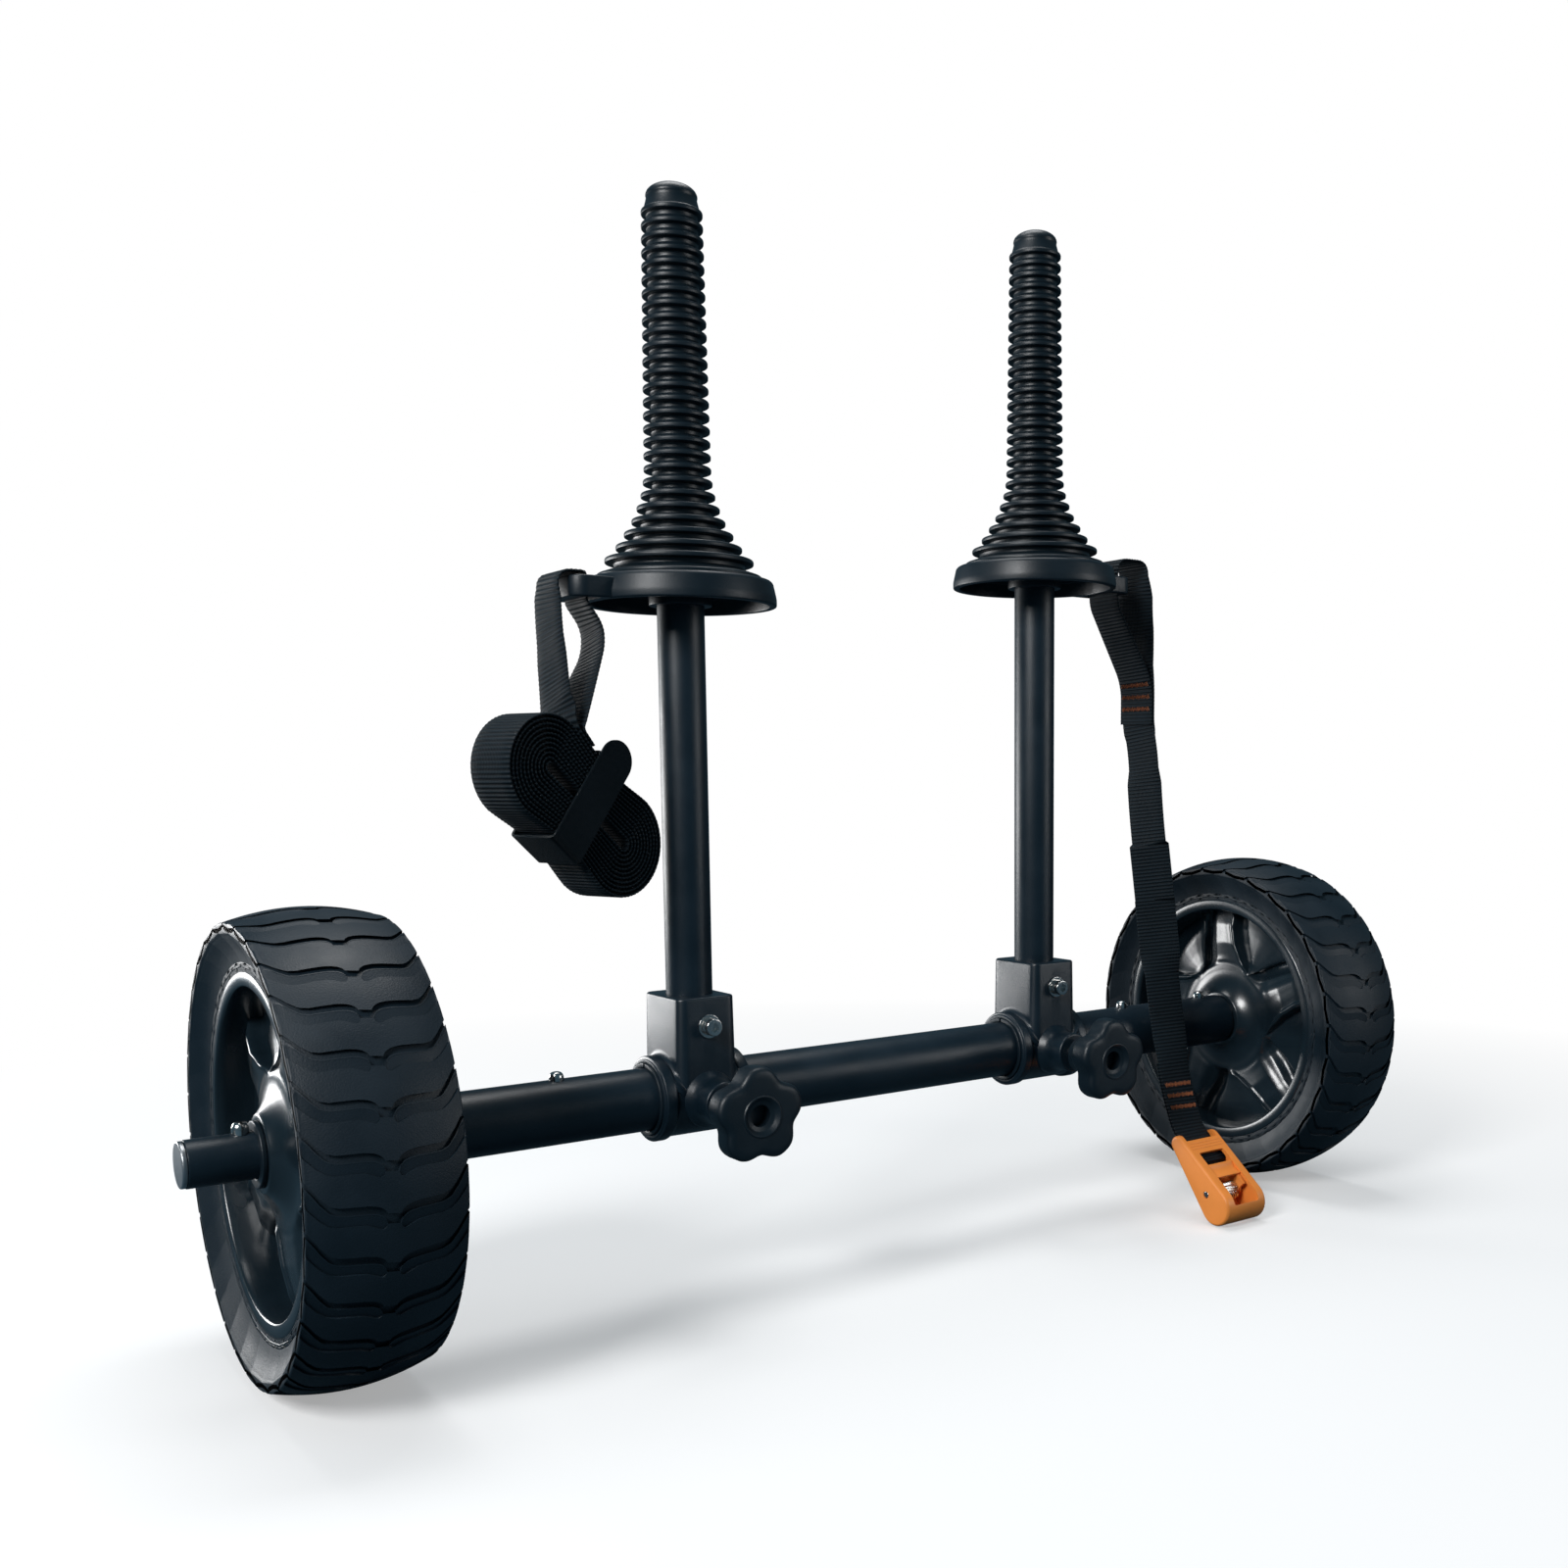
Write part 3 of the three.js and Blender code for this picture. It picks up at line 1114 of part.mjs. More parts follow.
addMesh(axle, "axle_tube", axleTube(), tubeMetal);
const SIDES = [
  { side: -1, name: "left", plateHeight: LEFT_PLATE_HEIGHT, spokeTurn: LEFT_SPOKE_TURN },
  { side: 1, name: "right", plateHeight: RIGHT_PLATE_HEIGHT, spokeTurn: RIGHT_SPOKE_TURN },
];
for (const { side, name, plateHeight, spokeTurn } of SIDES) {
  addMesh(axle, "stub_axle_" + name, facing(side, stubAxle()), blackAlloy);
  addMesh(axle, "stub_end_cap_" + name, facing(side, stubEndCap()), alloy);
  addMesh(axle, "stub_bushing_" + name, facing(side, stubBushing()), plastic);

  const buttons = [
    ["inner_button_", INNER_BUTTON_AT, TUBE_RADIUS + TUBE_BUTTON_RISE],
    ["outer_button_", OUTER_BUTTON_AT, TUBE_RADIUS + TUBE_BUTTON_RISE],
    ["wheel_button_", WHEEL_BUTTON_AT, STUB_RADIUS + WHEEL_BUTTON_RISE],
  ];
  for (const [title, at, top] of buttons) {
    const place = new THREE.Group();
    place.position.x = side * at;
    addMesh(place, title + name, snapButton(top), steel);
    addMesh(place, title + "spring_" + name, facing(side, buttonSpring()), steel);
    axle.add(place);
  }

  const wheel = new THREE.Group();
  wheel.position.x = side * WHEEL_FROM_MIDDLE;
  addMesh(wheel, "tyre_" + name, tyre(), rubber);
  addMesh(wheel, "rim_" + name, rim(spokeTurn), rimPlastic);
  addMesh(wheel, "hub_bush_outer_" + name, facing(side, hubBush()), plastic);
  addMesh(wheel, "hub_bush_inner_" + name, facing(-side, hubBush()), plastic);
  axle.add(wheel);

  const clamp = new THREE.Group();
  clamp.position.x = side * POST_FROM_MIDDLE;
  addMesh(clamp, "clamp_bushing_" + name, clampBushing(), plastic);
  addMesh(clamp, "clamp_body_" + name, clampBody(), castMetal);
  addMesh(clamp, "post_bolt_" + name, postBolt(), steel);
  addMesh(clamp, "post_washer_" + name, postWasher(), steel);
  addMesh(clamp, "post_nut_" + name, postNut(), steel);
  addMesh(clamp, "star_knob_" + name, starKnob(), plastic);
  addMesh(clamp, "knob_stud_" + name, knobStud(), steel);
  addMesh(clamp, "pressure_pad_" + name, pressurePad(), steel);
  addMesh(clamp, "post_tube_" + name, postTube(plateHeight), tubeMetal);
  addMesh(clamp, "post_core_" + name, postCore(plateHeight), alloy);
  const plate = addMesh(clamp, "post_plate_" + name, facing(side, postPlate()), plastic);
  plate.position.z = plateHeight;
  const sleeve = addMesh(clamp, "post_sleeve_" + name, ribbedSleeve(), rubber);
  sleeve.position.z = plateHeight + PLATE_HEIGHT;
  if (side < 0) {
    addMesh(clamp, "strap_left", leftStrap(), webbing);
    addMesh(clamp, "strap_tie_left", rollTie(), webbing);
  } else {
    addMesh(clamp, "strap_right", rightStrap(), webbing);
    const buckle = new THREE.Group();
    buckle.position.copy(bucklePlace(0, 0));
    buckle.rotation.x = THREE.MathUtils.degToRad(BUCKLE_TILT);
    addMesh(buckle, "buckle_frame", buckleFrame(), orange);
    addMesh(buckle, "buckle_lever", buckleLever(), orange);
    addMesh(buckle, "buckle_cam", buckleCam(), steel);
    addMesh(buckle, "buckle_pin", bucklePin(), steel);
    addMesh(buckle, "buckle_spring", buckleSpring(), steel);
    clamp.add(buckle);
  }
  axle.add(clamp);
}

export default cart;
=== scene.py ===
from math import asin, copysign, cos, degrees, pi, radians, sin, sqrt

import bmesh
import bpy
import numpy as np
from mathutils import Matrix, Vector


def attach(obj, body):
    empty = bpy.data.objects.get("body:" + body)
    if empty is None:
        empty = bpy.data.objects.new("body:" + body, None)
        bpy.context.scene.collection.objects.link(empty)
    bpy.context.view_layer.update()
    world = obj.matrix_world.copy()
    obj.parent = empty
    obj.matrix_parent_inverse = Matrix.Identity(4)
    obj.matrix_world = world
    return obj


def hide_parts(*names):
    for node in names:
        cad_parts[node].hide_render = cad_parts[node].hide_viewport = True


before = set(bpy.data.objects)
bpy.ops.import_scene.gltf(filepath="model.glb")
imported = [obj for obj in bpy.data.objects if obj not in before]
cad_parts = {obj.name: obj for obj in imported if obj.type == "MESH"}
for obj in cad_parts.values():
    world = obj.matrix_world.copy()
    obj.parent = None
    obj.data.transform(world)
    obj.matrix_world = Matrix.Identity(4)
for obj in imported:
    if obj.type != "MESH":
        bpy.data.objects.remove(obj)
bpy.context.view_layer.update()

# Sizes are in millimetres. +X runs along the axle and -Y is the side with the star knobs.
METRES = 0.001
SIDES = {"left": -1, "right": 1}
AXLE_Z = 127
POST_X = 138
WHEEL_X = 359
PLATE_Z = {"left": 294, "right": 323}
PLATE_HEIGHT = 15
BOLT_Z = 44.5
GAP = 0.3  # between pieces that touch in the cart
OVERRUN = 4  # of a cutter past what it cuts
scene = bpy.context.scene

# Materials


def feed(tree, socket, value):
    """Link a socket to another one, or give it a value."""
    if isinstance(value, bpy.types.NodeSocket):
        tree.links.new(value, socket)
    else:
        socket.default_value = value


def wire(tree, kind, settings=(), **links):
    """Add a node with its properties and its sockets' links or values; n0 is the first socket."""
    node = tree.nodes.new(kind)
    for name, value in settings:
        setattr(node, name, value)
    for name, value in links.items():
        key = int(name[1:]) if name.startswith("n") else name.replace("_", " ")
        feed(tree, node.inputs[key], value)
    return node


def grey_range(tree, value, low, high, start=0.3, end=0.7):
    limits = {"From_Min": start, "From_Max": end, "To_Min": low, "To_Max": high}
    return wire(tree, "ShaderNodeMapRange", Value=value, **limits).outputs["Result"]


def maths(tree, operation, *values):
    sockets = {f"n{i}": value for i, value in enumerate(values)}
    return wire(tree, "ShaderNodeMath", (("operation", operation),), **sockets).outputs["Value"]


def noise(tree, where, scale, detail):
    node = wire(tree, "ShaderNodeTexNoise", Vector=where, Scale=scale, Detail=detail)
    return node.outputs["Fac"]


def colour_mix(tree, factor, one, two, kind="MIX"):
    settings = (("data_type", "RGBA"), ("blend_type", kind))
    node = wire(tree, "ShaderNodeMix", settings, Factor=factor)
    for name, value in (("A", one), ("B", two)):
        feed(tree, next(s for s in node.inputs if s.name == name and s.type == "RGBA"), value)
    return next(s for s in node.outputs if s.type == "RGBA")


def bumped(tree, height, strength, distance, below=None):
    node = wire(tree, "ShaderNodeBump", Height=height, Strength=strength, Distance=distance)
    if below is not None:
        tree.links.new(below, node.inputs["Normal"])
    return node.outputs["Normal"]


def shade(colour, share):
    return (*[min(1, part * share) for part in colour], 1)


def material(
    name, colour, rough, specular=0.5, metallic=0.0, grain=1200, depth=0.15, mottle=0.15, rub=0.0
):
    """A surface with broad mottling, a fine grain and, where rub is set, lighter rubbed specks."""
    made = bpy.data.materials.new(name)
    made.use_nodes = True
    tree = made.node_tree
    shader = tree.nodes["Principled BSDF"]
    where = tree.nodes.new("ShaderNodeTexCoord").outputs["Object"]
    broad = noise(tree, where, 38, 4)
    patches = grey_range(tree, broad, 0, 1)
    tint = colour_mix(tree, patches, shade(colour, 1 - mottle), shade(colour, 1 + mottle))
    if rub > 0:
        specks = grey_range(tree, noise(tree, where, 260, 6), 0, rub, 0.6, 0.75)
        tint = colour_mix(tree, specks, tint, shade(colour, 2.4))
    surface = {
        "Metallic": metallic,
        "Specular IOR Level": specular,
        "Base Color": tint,
        "Roughness": grey_range(tree, broad, rough * 0.88, rough * 1.14),
        "Normal": bumped(tree, noise(tree, where, grain, 2), depth, 0.0004),
    }
    for key, value in surface.items():
        feed(tree, shader.inputs[key], value)
    made.diffuse_color = (*colour, 1)
    return made


def webbing(name, colour, ribs, cords, painted_rib_contrast):
    """Woven band: ribs a metre along it, cords a metre across it, from the map named weave, with
    painted highlight on the rib crests and painted shade between the ribs.
    """
    made = material(name, colour, 0.66, 0.22, grain=2400, depth=0.3, mottle=0.2)
    tree = made.node_tree
    shader = tree.nodes["Principled BSDF"]
    flat = wire(tree, "ShaderNodeUVMap", (("uv_map", "weave"),))
    parts = wire(tree, "ShaderNodeSeparateXYZ", Vector=flat.outputs["UV"])

    def wave(value, count):
        return maths(tree, "COSINE", maths(tree, "MULTIPLY", value, 2 * pi * count))

    along = wave(parts.outputs["Y"], ribs)
    across = wave(parts.outputs["X"], cords)
    under = shader.inputs["Normal"].links[0].from_socket
    ribbed = bumped(tree, along, 0.6, 0.0004, under)
    tree.links.new(bumped(tree, across, 0.35, 0.0002, ribbed), shader.inputs["Normal"])
    # Painted highlight and painted shade: the band's colour is made lighter on each rib's crest and
    # darker in the hollows between ribs.
    light = grey_range(tree, along, 1 - painted_rib_contrast, 1 + painted_rib_contrast, -1, 1)
    tint = shader.inputs["Base Color"].links[0].from_socket
    tree.links.new(colour_mix(tree, 1.0, tint, light, "MULTIPLY"), shader.inputs["Base Color"])
    return made


WEB_RIB = 2.6
TUBE_LOOK = material(
    "satin_black_tube", (0.0045, 0.0130, 0.0215), 0.38, 0.45, grain=2600, depth=0.18, rub=0.1
)
# The last value given to webbing is the strength of the painted highlight on the rib crests and the
# painted shade between them.
TIE_LOOK = webbing("tie_webbing", (0.0030, 0.0080, 0.0120), 1400, 1400, 0.15)
THREAD_LOOK = material("copper_thread", (0.46, 0.15, 0.06), 0.55, grain=3000, depth=0.5, mottle=0.3)
# The look of each material slot
LOOKS = {
    "black_tube": TUBE_LOOK,
    "black_aluminium": TUBE_LOOK,
    "cast_black": material(
        "cast_black", (0.0040, 0.0115, 0.0190), 0.34, grain=1500, depth=0.2, rub=0.1
    ),
    "black_plastic": material(
        "black_plastic", (0.0036, 0.0100, 0.0160), 0.42, 0.45, grain=1300, depth=0.2
    ),
    "rim_plastic": material("rim_plastic", (0.0060, 0.0125, 0.0180), 0.25, 0.7, grain=700, depth=0.05),
    "tyre_rubber": material(
        "tyre_rubber", (0.0035, 0.0105, 0.0175), 0.50, 0.42, grain=1100, depth=0.3, rub=0.15
    ),
    "sleeve_rubber": material(
        "sleeve_rubber", (0.0036, 0.0100, 0.0155), 0.40, 0.45, grain=1400, depth=0.18
    ),
    "bright_steel": material(
        "bright_steel", (0.62, 0.61, 0.59), 0.2, metallic=1, grain=2200, depth=0.08, mottle=0.08
    ),
    "bare_aluminium": material(
        "bare_aluminium", (0.42, 0.43, 0.44), 0.36, metallic=1, grain=1800, mottle=0.12
    ),
    "orange_body": material("orange_body", (0.92, 0.29, 0.052), 0.42, 0.45, depth=0.12, mottle=0.06),
    "webbing": webbing("black_webbing", (0.0036, 0.0088, 0.0130), 1000 / WEB_RIB, 870, 0.45),
}

# Meshes, in millimetres until they are placed


def add_object(name, data):
    made = bpy.data.objects.new(name, data)
    scene.collection.objects.link(made)
    return made


def piece(points, faces, weld=1e-4):
    """An object from points and faces, with its faces turned out and its doubled points joined."""
    mesh = bpy.data.meshes.new("piece")
    mesh.from_pydata([tuple(map(float, point)) for point in points], [], faces)
    work = bmesh.new()
    work.from_mesh(mesh)
    if weld:
        bmesh.ops.remove_doubles(work, verts=work.verts, dist=weld)
    bmesh.ops.recalc_face_normals(work, faces=work.faces)
    work.to_mesh(mesh)
    work.free()
    return add_object("piece", mesh)


def quads(rows, columns, close_rows=False, first=0):
    """Faces between rows of points that each close on themselves."""
    faces = []
    for i in range(rows if close_rows else rows - 1):
        here, following = first + i * columns, first + (i + 1) % rows * columns
        for k in range(columns):
            after = (k + 1) % columns
            faces.append((here + k, here + after, following + after, following + k))
    return faces


def ends(count, rows):
    """The two faces that shut rows of count points each."""
    last = count * (rows - 1)
    return [tuple(range(count))[::-1], tuple(range(last, last + count))]


def skin(rows, close_rows=False, weld=1e-4):
    """A piece from rows of as many points each, that close on themselves."""
    points = [point for row in rows for point in row]
    return piece(points, quads(len(rows), len(rows[0]), close_rows), weld)


def rounded(profile, steps):
    """A profile whose corners with a third value are cut back by it and curved."""
    line = []
    for i, (along, radius, *reach) in enumerate(profile):
        here = Vector((along, radius))
        if not reach:
            line.append(here)
            continue
        before = Vector(profile[i - 1][:2]) - here
        after = Vector(profile[(i + 1) % len(profile)][:2]) - here
        start, end = here + before.normalized() * reach[0], here + after.normalized() * reach[0]
        for k in range(steps + 1):
            t = k / steps
            line.append(start * (1 - t) ** 2 + here * 2 * t * (1 - t) + end * t ** 2)
    return line


def about(axis, along, radius, angle):
    """A point on a circle round an axis, at an angle from +Z, or from +X round the Z axis."""
    c, s = radius * cos(angle), radius * sin(angle)
    return {"x": (along, s, c), "y": (s, along, c), "z": (c, s, along)}[axis]


def lathe(profile, axis="x", closed=False, segments=96, steps=4):
    """A turned body from places along and away from its axis; closed is for a ring's profile."""
    line = rounded(profile, steps)
    angles = [2 * pi * k / segments for k in range(segments)]
    points = [about(axis, along, radius, angle) for along, radius in line for angle in angles]
    return piece(points, quads(len(line), segments, close_rows=closed))


def pipe(start, end, inner, outer, axis="x", edge=0.5, segments=96):
    profile = [(start, inner, edge), (start, outer, edge), (end, outer, edge), (end, inner, edge)]
    return lathe(profile, axis, True, segments)


def rod(start, end, radius, axis="x", edge=0.0, segments=64):
    reach = (edge,) if edge else ()
    profile = [(start, 0), (start, radius, *reach), (end, radius, *reach), (end, 0)]
    return lathe(profile, axis, False, segments)


def prism(outline, low, high):
    points = [(x, y, z) for z in (low, high) for x, y in outline]
    return piece(points, ends(len(outline), 2) + quads(2, len(outline)))


def block(low, high):
    (west, south, bottom), (east, north, top) = low, high
    return prism([(west, south), (east, south), (east, north), (west, north)], bottom, top)


def rectangle(width, height, corner, steps=8):
    outline = []
    for x_sign, y_sign, start in ((1, 1, 0), (-1, 1, 90), (-1, -1, 180), (1, -1, 270)):
        for k in range(steps + 1):
            angle = radians(start + 90 * k / steps)
            x = x_sign * (width / 2 - corner) + corner * cos(angle)
            y = y_sign * (height / 2 - corner) + corner * sin(angle)
            outline.append((x, y))
    return outline


def apply_modifiers(obj):
    graph = bpy.context.evaluated_depsgraph_get()
    mesh = bpy.data.meshes.new_from_object(obj.evaluated_get(graph))
    obj.modifiers.clear()
    obj.data = mesh
    return obj


def combine(obj, *others, operation="UNION"):
    for other in others:
        change = obj.modifiers.new("join", "BOOLEAN")
        change.object = other
        change.operation = operation
        change.solver = "EXACT"
    apply_modifiers(obj)
    for other in others:
        bpy.data.objects.remove(other)
    return obj


def cut(obj, *others):
    return combine(obj, *others, operation="DIFFERENCE")


def bevel(obj, width, segments=3, angle=30):
    change = obj.modifiers.new("edge", "BEVEL")
    change.width = width
    change.segments = segments
    change.limit_method = "ANGLE"
    change.angle_limit = radians(angle)
    return apply_modifiers(obj)


def moved(obj, x=0.0, y=0.0, z=0.0):
    obj.data.transform(Matrix.Translation((x, y, z)))
    return obj


def turned(obj, angle, axis):
    obj.data.transform(Matrix.Rotation(radians(angle), 4, axis))
    return obj


def facing(obj, side):
    return obj if side > 0 else turned(obj, 180, "Z")


def lerp(low, high, share):
    return low + (high - low) * share


def dress(mesh, look, smooth):
    mesh.shade_smooth()
    mesh.set_sharp_from_angle(angle=radians(smooth))
    mesh.materials.clear()
    mesh.materials.append(look)


def place(obj, name, body, slot, node, at, matrix=None, smooth=32, look=None):
    """Scale a piece to metres, move it to its place and hand it to the frame."""
    obj.data.transform(Matrix.Scale(METRES, 4) @ Matrix.Translation(at) @ (matrix or Matrix()))
    obj.name = name
    obj.data.name = name
    dress(obj.data, look or LOOKS[slot], smooth)
    if node:
        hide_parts(node)
    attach(obj, body)
    return obj


# Axle

TUBE_HALF, TUBE_BORE, TUBE_RADIUS = 327.5, 17, 19
STUB_START, STUB_END, STUB_BORE, STUB_RADIUS = 205, 423.2, 10.5, 12.5
BUSHING_START, BUSHING_BORE, BUSHING_RADIUS = 200, 12.8, 16.7
# Each button's place along the axle and its top above the axle's centre
BUTTONS = {"inner_button_": (225, 24), "outer_button_": (308, 24), "wheel_button_": (396, 18.5)}
TUBE_BUTTONS = ("inner_button_", "outer_button_")
BUTTON_HOLE, HOLE_OVERRUN = 4.6, 10
BUTTON_RADIUS = 4.3
BUTTON_FLANGE = ((6.5, 0), (6.5, 5.5), (8.5, 5.5), (8.5, BUTTON_RADIUS))
# Below the button's top
BUTTON_CROWN = ((-2.6, BUTTON_RADIUS, 1.4), (-0.6, 3.0, 1.0), (0, 0))
CAP_PROFILE = ((411.5, 0), (411.5, 10), (423.5, 10), (423.5, 12.1, 0.3), (426, 12.1, 0.9), (426, 0))


def button_holes(side, names):
    holes = []
    for name in names:
        at, top = BUTTONS[name]
        holes.append(moved(rod(0, top + HOLE_OVERRUN, BUTTON_HOLE, "z", segments=32), x=side * at))
    return holes


def button(top):
    crown = [(top + along, *rest) for along, *rest in BUTTON_CROWN]
    return lathe([*BUTTON_FLANGE, *crown], "z", segments=40)


def add_stub(name, side, centre):
    stub = pipe(STUB_START, STUB_END, STUB_BORE, STUB_RADIUS, edge=0.4)
    facing(cut(stub, *button_holes(1, BUTTONS)), side)
    place(stub, "stub_tube_" + name, "axle", "black_aluminium", "stub_axle_" + name, centre)
    cap = facing(lathe(CAP_PROFILE, segments=72), side)
    place(cap, "stub_cap_" + name, "axle", "bare_aluminium", "stub_end_cap_" + name, centre)
    bushing = pipe(BUSHING_START, TUBE_HALF, BUSHING_BORE, BUSHING_RADIUS, edge=0.8)
    facing(cut(bushing, *button_holes(1, TUBE_BUTTONS)), side)
    place(bushing, "tube_bushing_" + name, "axle", "black_plastic", "stub_bushing_" + name, centre)
    for title, (along, top) in BUTTONS.items():
        node, at = title + name, (side * along, 0, AXLE_Z)
        place(button(top), title + "look_" + name, node, "bright_steel", node, at)


def add_axle():
    centre = (0, 0, AXLE_Z)
    main = pipe(-TUBE_HALF, TUBE_HALF, TUBE_BORE, TUBE_RADIUS, edge=0.6)
    cut(main, *button_holes(-1, TUBE_BUTTONS), *button_holes(1, TUBE_BUTTONS))
    place(main, "main_tube", "axle", "black_tube", "axle_tube", centre)
    for name, side in SIDES.items():
        add_stub(name, side, centre)


# Tyres

CROWN_RADIUS = 127
TREAD_HALF = 38
SHOULDER_FALL, SHOULDER_CUT = 6.5, 1.2
# Rows of the tread's middle, where the grooves end, and the first step past them
TREAD_START, TREAD_STEP = (0, 1.5, 2.8, 3.1, 3.25, 3.45, 3.8, 4.3, 5, 5.8, 6.6, 7.6), 1.2
GROOVES, GROOVE_DEPTH, GROOVE_START = 32, 3.4, 3.2
BULB_RADIUS, CLOSED_SHARE = 3.3, 0.06
HALF_STAGGER = 0.8  # how far the grooves of one half lie behind the other's
# Places across the tread, and what holds at each of them: how far round the groove's middle lies, the
# groove's width, its share of the full depth, and its gentle wall's share of that depth
ACROSS = (3.2, 5, 8, 12, 18, 24, 28, 32, 35, 37.4, 38)
GROOVE_SHAPE = (
    (12.9, 12.4, 11.0, 9.9, 9.6, 9.5, 8.4, 4.6, 0.6, -2.6, -3.4),
    (6.4, 6.6, 6.2, 5.2, 5.0, 5.4, 6.0, 7.4, 8.6, 9.0, 9.0),
    (1, 1, 1, 1, 1, 1, 1, 0.95, 0.8, 0.35, 0),
    (1, 1, 0.9, 0.85, 0.8, 0.75, 0.5, 0.3, 0.15, 0.05, 0),
)
# A groove's columns as shares of its width from its middle
GROOVE_COLUMNS = (-0.62, -0.5, -0.43, -0.25, 0.05, 0.3, 0.43, 0.5, 0.62)
LAND_COLUMNS = 4
# Across the tyre and its radius there: the sidewall's lip, then its dished wall and the bead
LIP_PROFILE = ((38, 119.5), (38, 117.3), (37.8, 116.8), (37.3, 116.3), (36.9, 115.5))
WALL_END, WALL_HOLLOW = (30.3, 101.3), 0.7
BEAD_PROFILE = (
    (29.7, 101.0), (29.9, 100.4), (30.4, 99.8), (30.4, 99.0), (29.8, 98.4), (29.4, 98.0),
    (29.7, 97.5), (30.2, 96.9), (30.1, 96.1), (29.2, 95.5), (28.2, 95.3), (28, 93.3),
)


def crown_radius(across):
    return CROWN_RADIUS - SHOULDER_FALL * (across / TREAD_HALF) ** 2


def tyre_profile():
    """Rows from the tread's middle round the side to the rim's seat: across, radius, grooved."""
    flat_end = TREAD_HALF - SHOULDER_CUT
    rows = [(across, crown_radius(across), True) for across in TREAD_START]
    for across in np.linspace(TREAD_START[-1] + TREAD_STEP, flat_end, 25):
        rows.append((across, crown_radius(across), True))
    for angle in np.linspace(0, pi / 2, 6)[1:]:
        across = flat_end + SHOULDER_CUT * sin(angle)
        rows.append((across, crown_radius(flat_end) - SHOULDER_CUT * (1 - cos(angle)), True))
    rows += [(across, radius, False) for across, radius in LIP_PROFILE]
    (lip, lip_radius), (bead, bead_radius) = LIP_PROFILE[-1], WALL_END
    for share in np.linspace(0.08, 1, 12):
        hollow = WALL_HOLLOW * sin(pi * share)
        rows.append((lerp(lip, bead, share) - hollow, lerp(lip_radius, bead_radius, share), False))
    return rows + [(across, radius, False) for across, radius in BEAD_PROFILE]


def groove_columns(across, grooved):
    """Round one groove and its land at a place across the tread: millimetres round, depth."""
    pitch = 2 * pi * CROWN_RADIUS / GROOVES
    middle, width, full, wall = [float(np.interp(across, ACROSS, row)) for row in GROOVE_SHAPE]
    depth = GROOVE_DEPTH * full if grooved and across > GROOVE_START else 0
    into = across - GROOVE_START
    if into <= 0:
        width *= CLOSED_SHARE
    elif into < BULB_RADIUS:
        width *= sqrt(1 - (1 - into / BULB_RADIUS) ** 2)
    drops = (0, 0, wall, lerp(wall, 1, 0.35), lerp(wall, 1, 0.7), 1, 1, 0, 0)
    columns = [(middle + c * width, depth * drop) for c, drop in zip(GROOVE_COLUMNS, drops)]
    first, last = columns[-1][0], columns[0][0] + pitch
    for k in range(1, LAND_COLUMNS + 1):
        columns.append((lerp(first, last, k / (LAND_COLUMNS + 1)), 0))
    return columns


def tyre():
    half = tyre_profile()
    points = []
    for across, radius, grooved in [(-a, *rest) for a, *rest in half[::-1]] + half[1:]:
        stagger = HALF_STAGGER * (min(1, max(0, (across + 3) / 6)) - 0.5)
        columns = groove_columns(abs(across), grooved)
        for n in range(GROOVES):
            for arc, depth in columns:
                angle = 2 * pi * n / GROOVES - (arc + stagger) / CROWN_RADIUS
                low = radius - depth
                points.append((across, low * cos(angle), -low * sin(angle)))
    round_tyre = GROOVES * (len(GROOVE_COLUMNS) + LAND_COLUMNS)
    return piece(points, quads(len(points) // round_tyre, round_tyre, close_rows=True), weld=0)


# Rims: each face is a grid of rings, bent so that its columns follow the edges of the five arms

ARMS = 5
HUB_EDGE, HUB_FACE, HUB_EASE = 41, 19.2, 5
PANE_END, RING_STEP = 86.5, 1.25
CONE_START, CONE_RISE = 21, 8.6
# By radius: where an arm's crest and its soft side lie in degrees, and the heights of its top, of the
# pane and the recess beside it, and of the pane's bulge
CREST_AT = ((41, 43, 50, 60, 72, 88), (38.6, 38.0, 27, 18.5, 14.2, 12))
SOFT_AT = ((41, 43, 50, 60, 72, 88), (32, 31.5, 25, 20, 14.5, 11))
TOP_AT = ((41, 46, 60, 75, 86.5), (19.2, 21.0, 22.0, 20.5, 17.0))
PANE_AT = ((41, 44, 50, 60, 75, 86.5), (18.4, 16.5, 14.2, 12.8, 11.2, 9.5))
DEEP_AT = ((41, 44, 50, 60, 86.5), (18.3, 12, 8, 6.3, 5.8))
BULGE_AT = ((41, 50, 70, 86.5), (0, 0.6, 1.4, 0.8))
# Height, radius and share of the bend, from the bore, and from the arms' ends to the tyre's seat
HUB_PROFILE = ((0, 15.3, 0), (28.2, 15.3, 0), (28.4, 15.6, 0), (28.4, 20.4, 0), (28.1, 20.9, 0))
BAND_PROFILE = (
    (18.0, 86.5, 1), (24, 86.8, 1), (29.2, 87.1, 0.9), (30.1, 87.5, 0.8), (30.5, 88.2, 0.6),
    (30.5, 93.8, 0.3), (30.2, 94.9, 0.1), (29.4, 95.3, 0), (28.3, 95.2, 0), (28.3, 93, 0), (0, 93, 0),
)


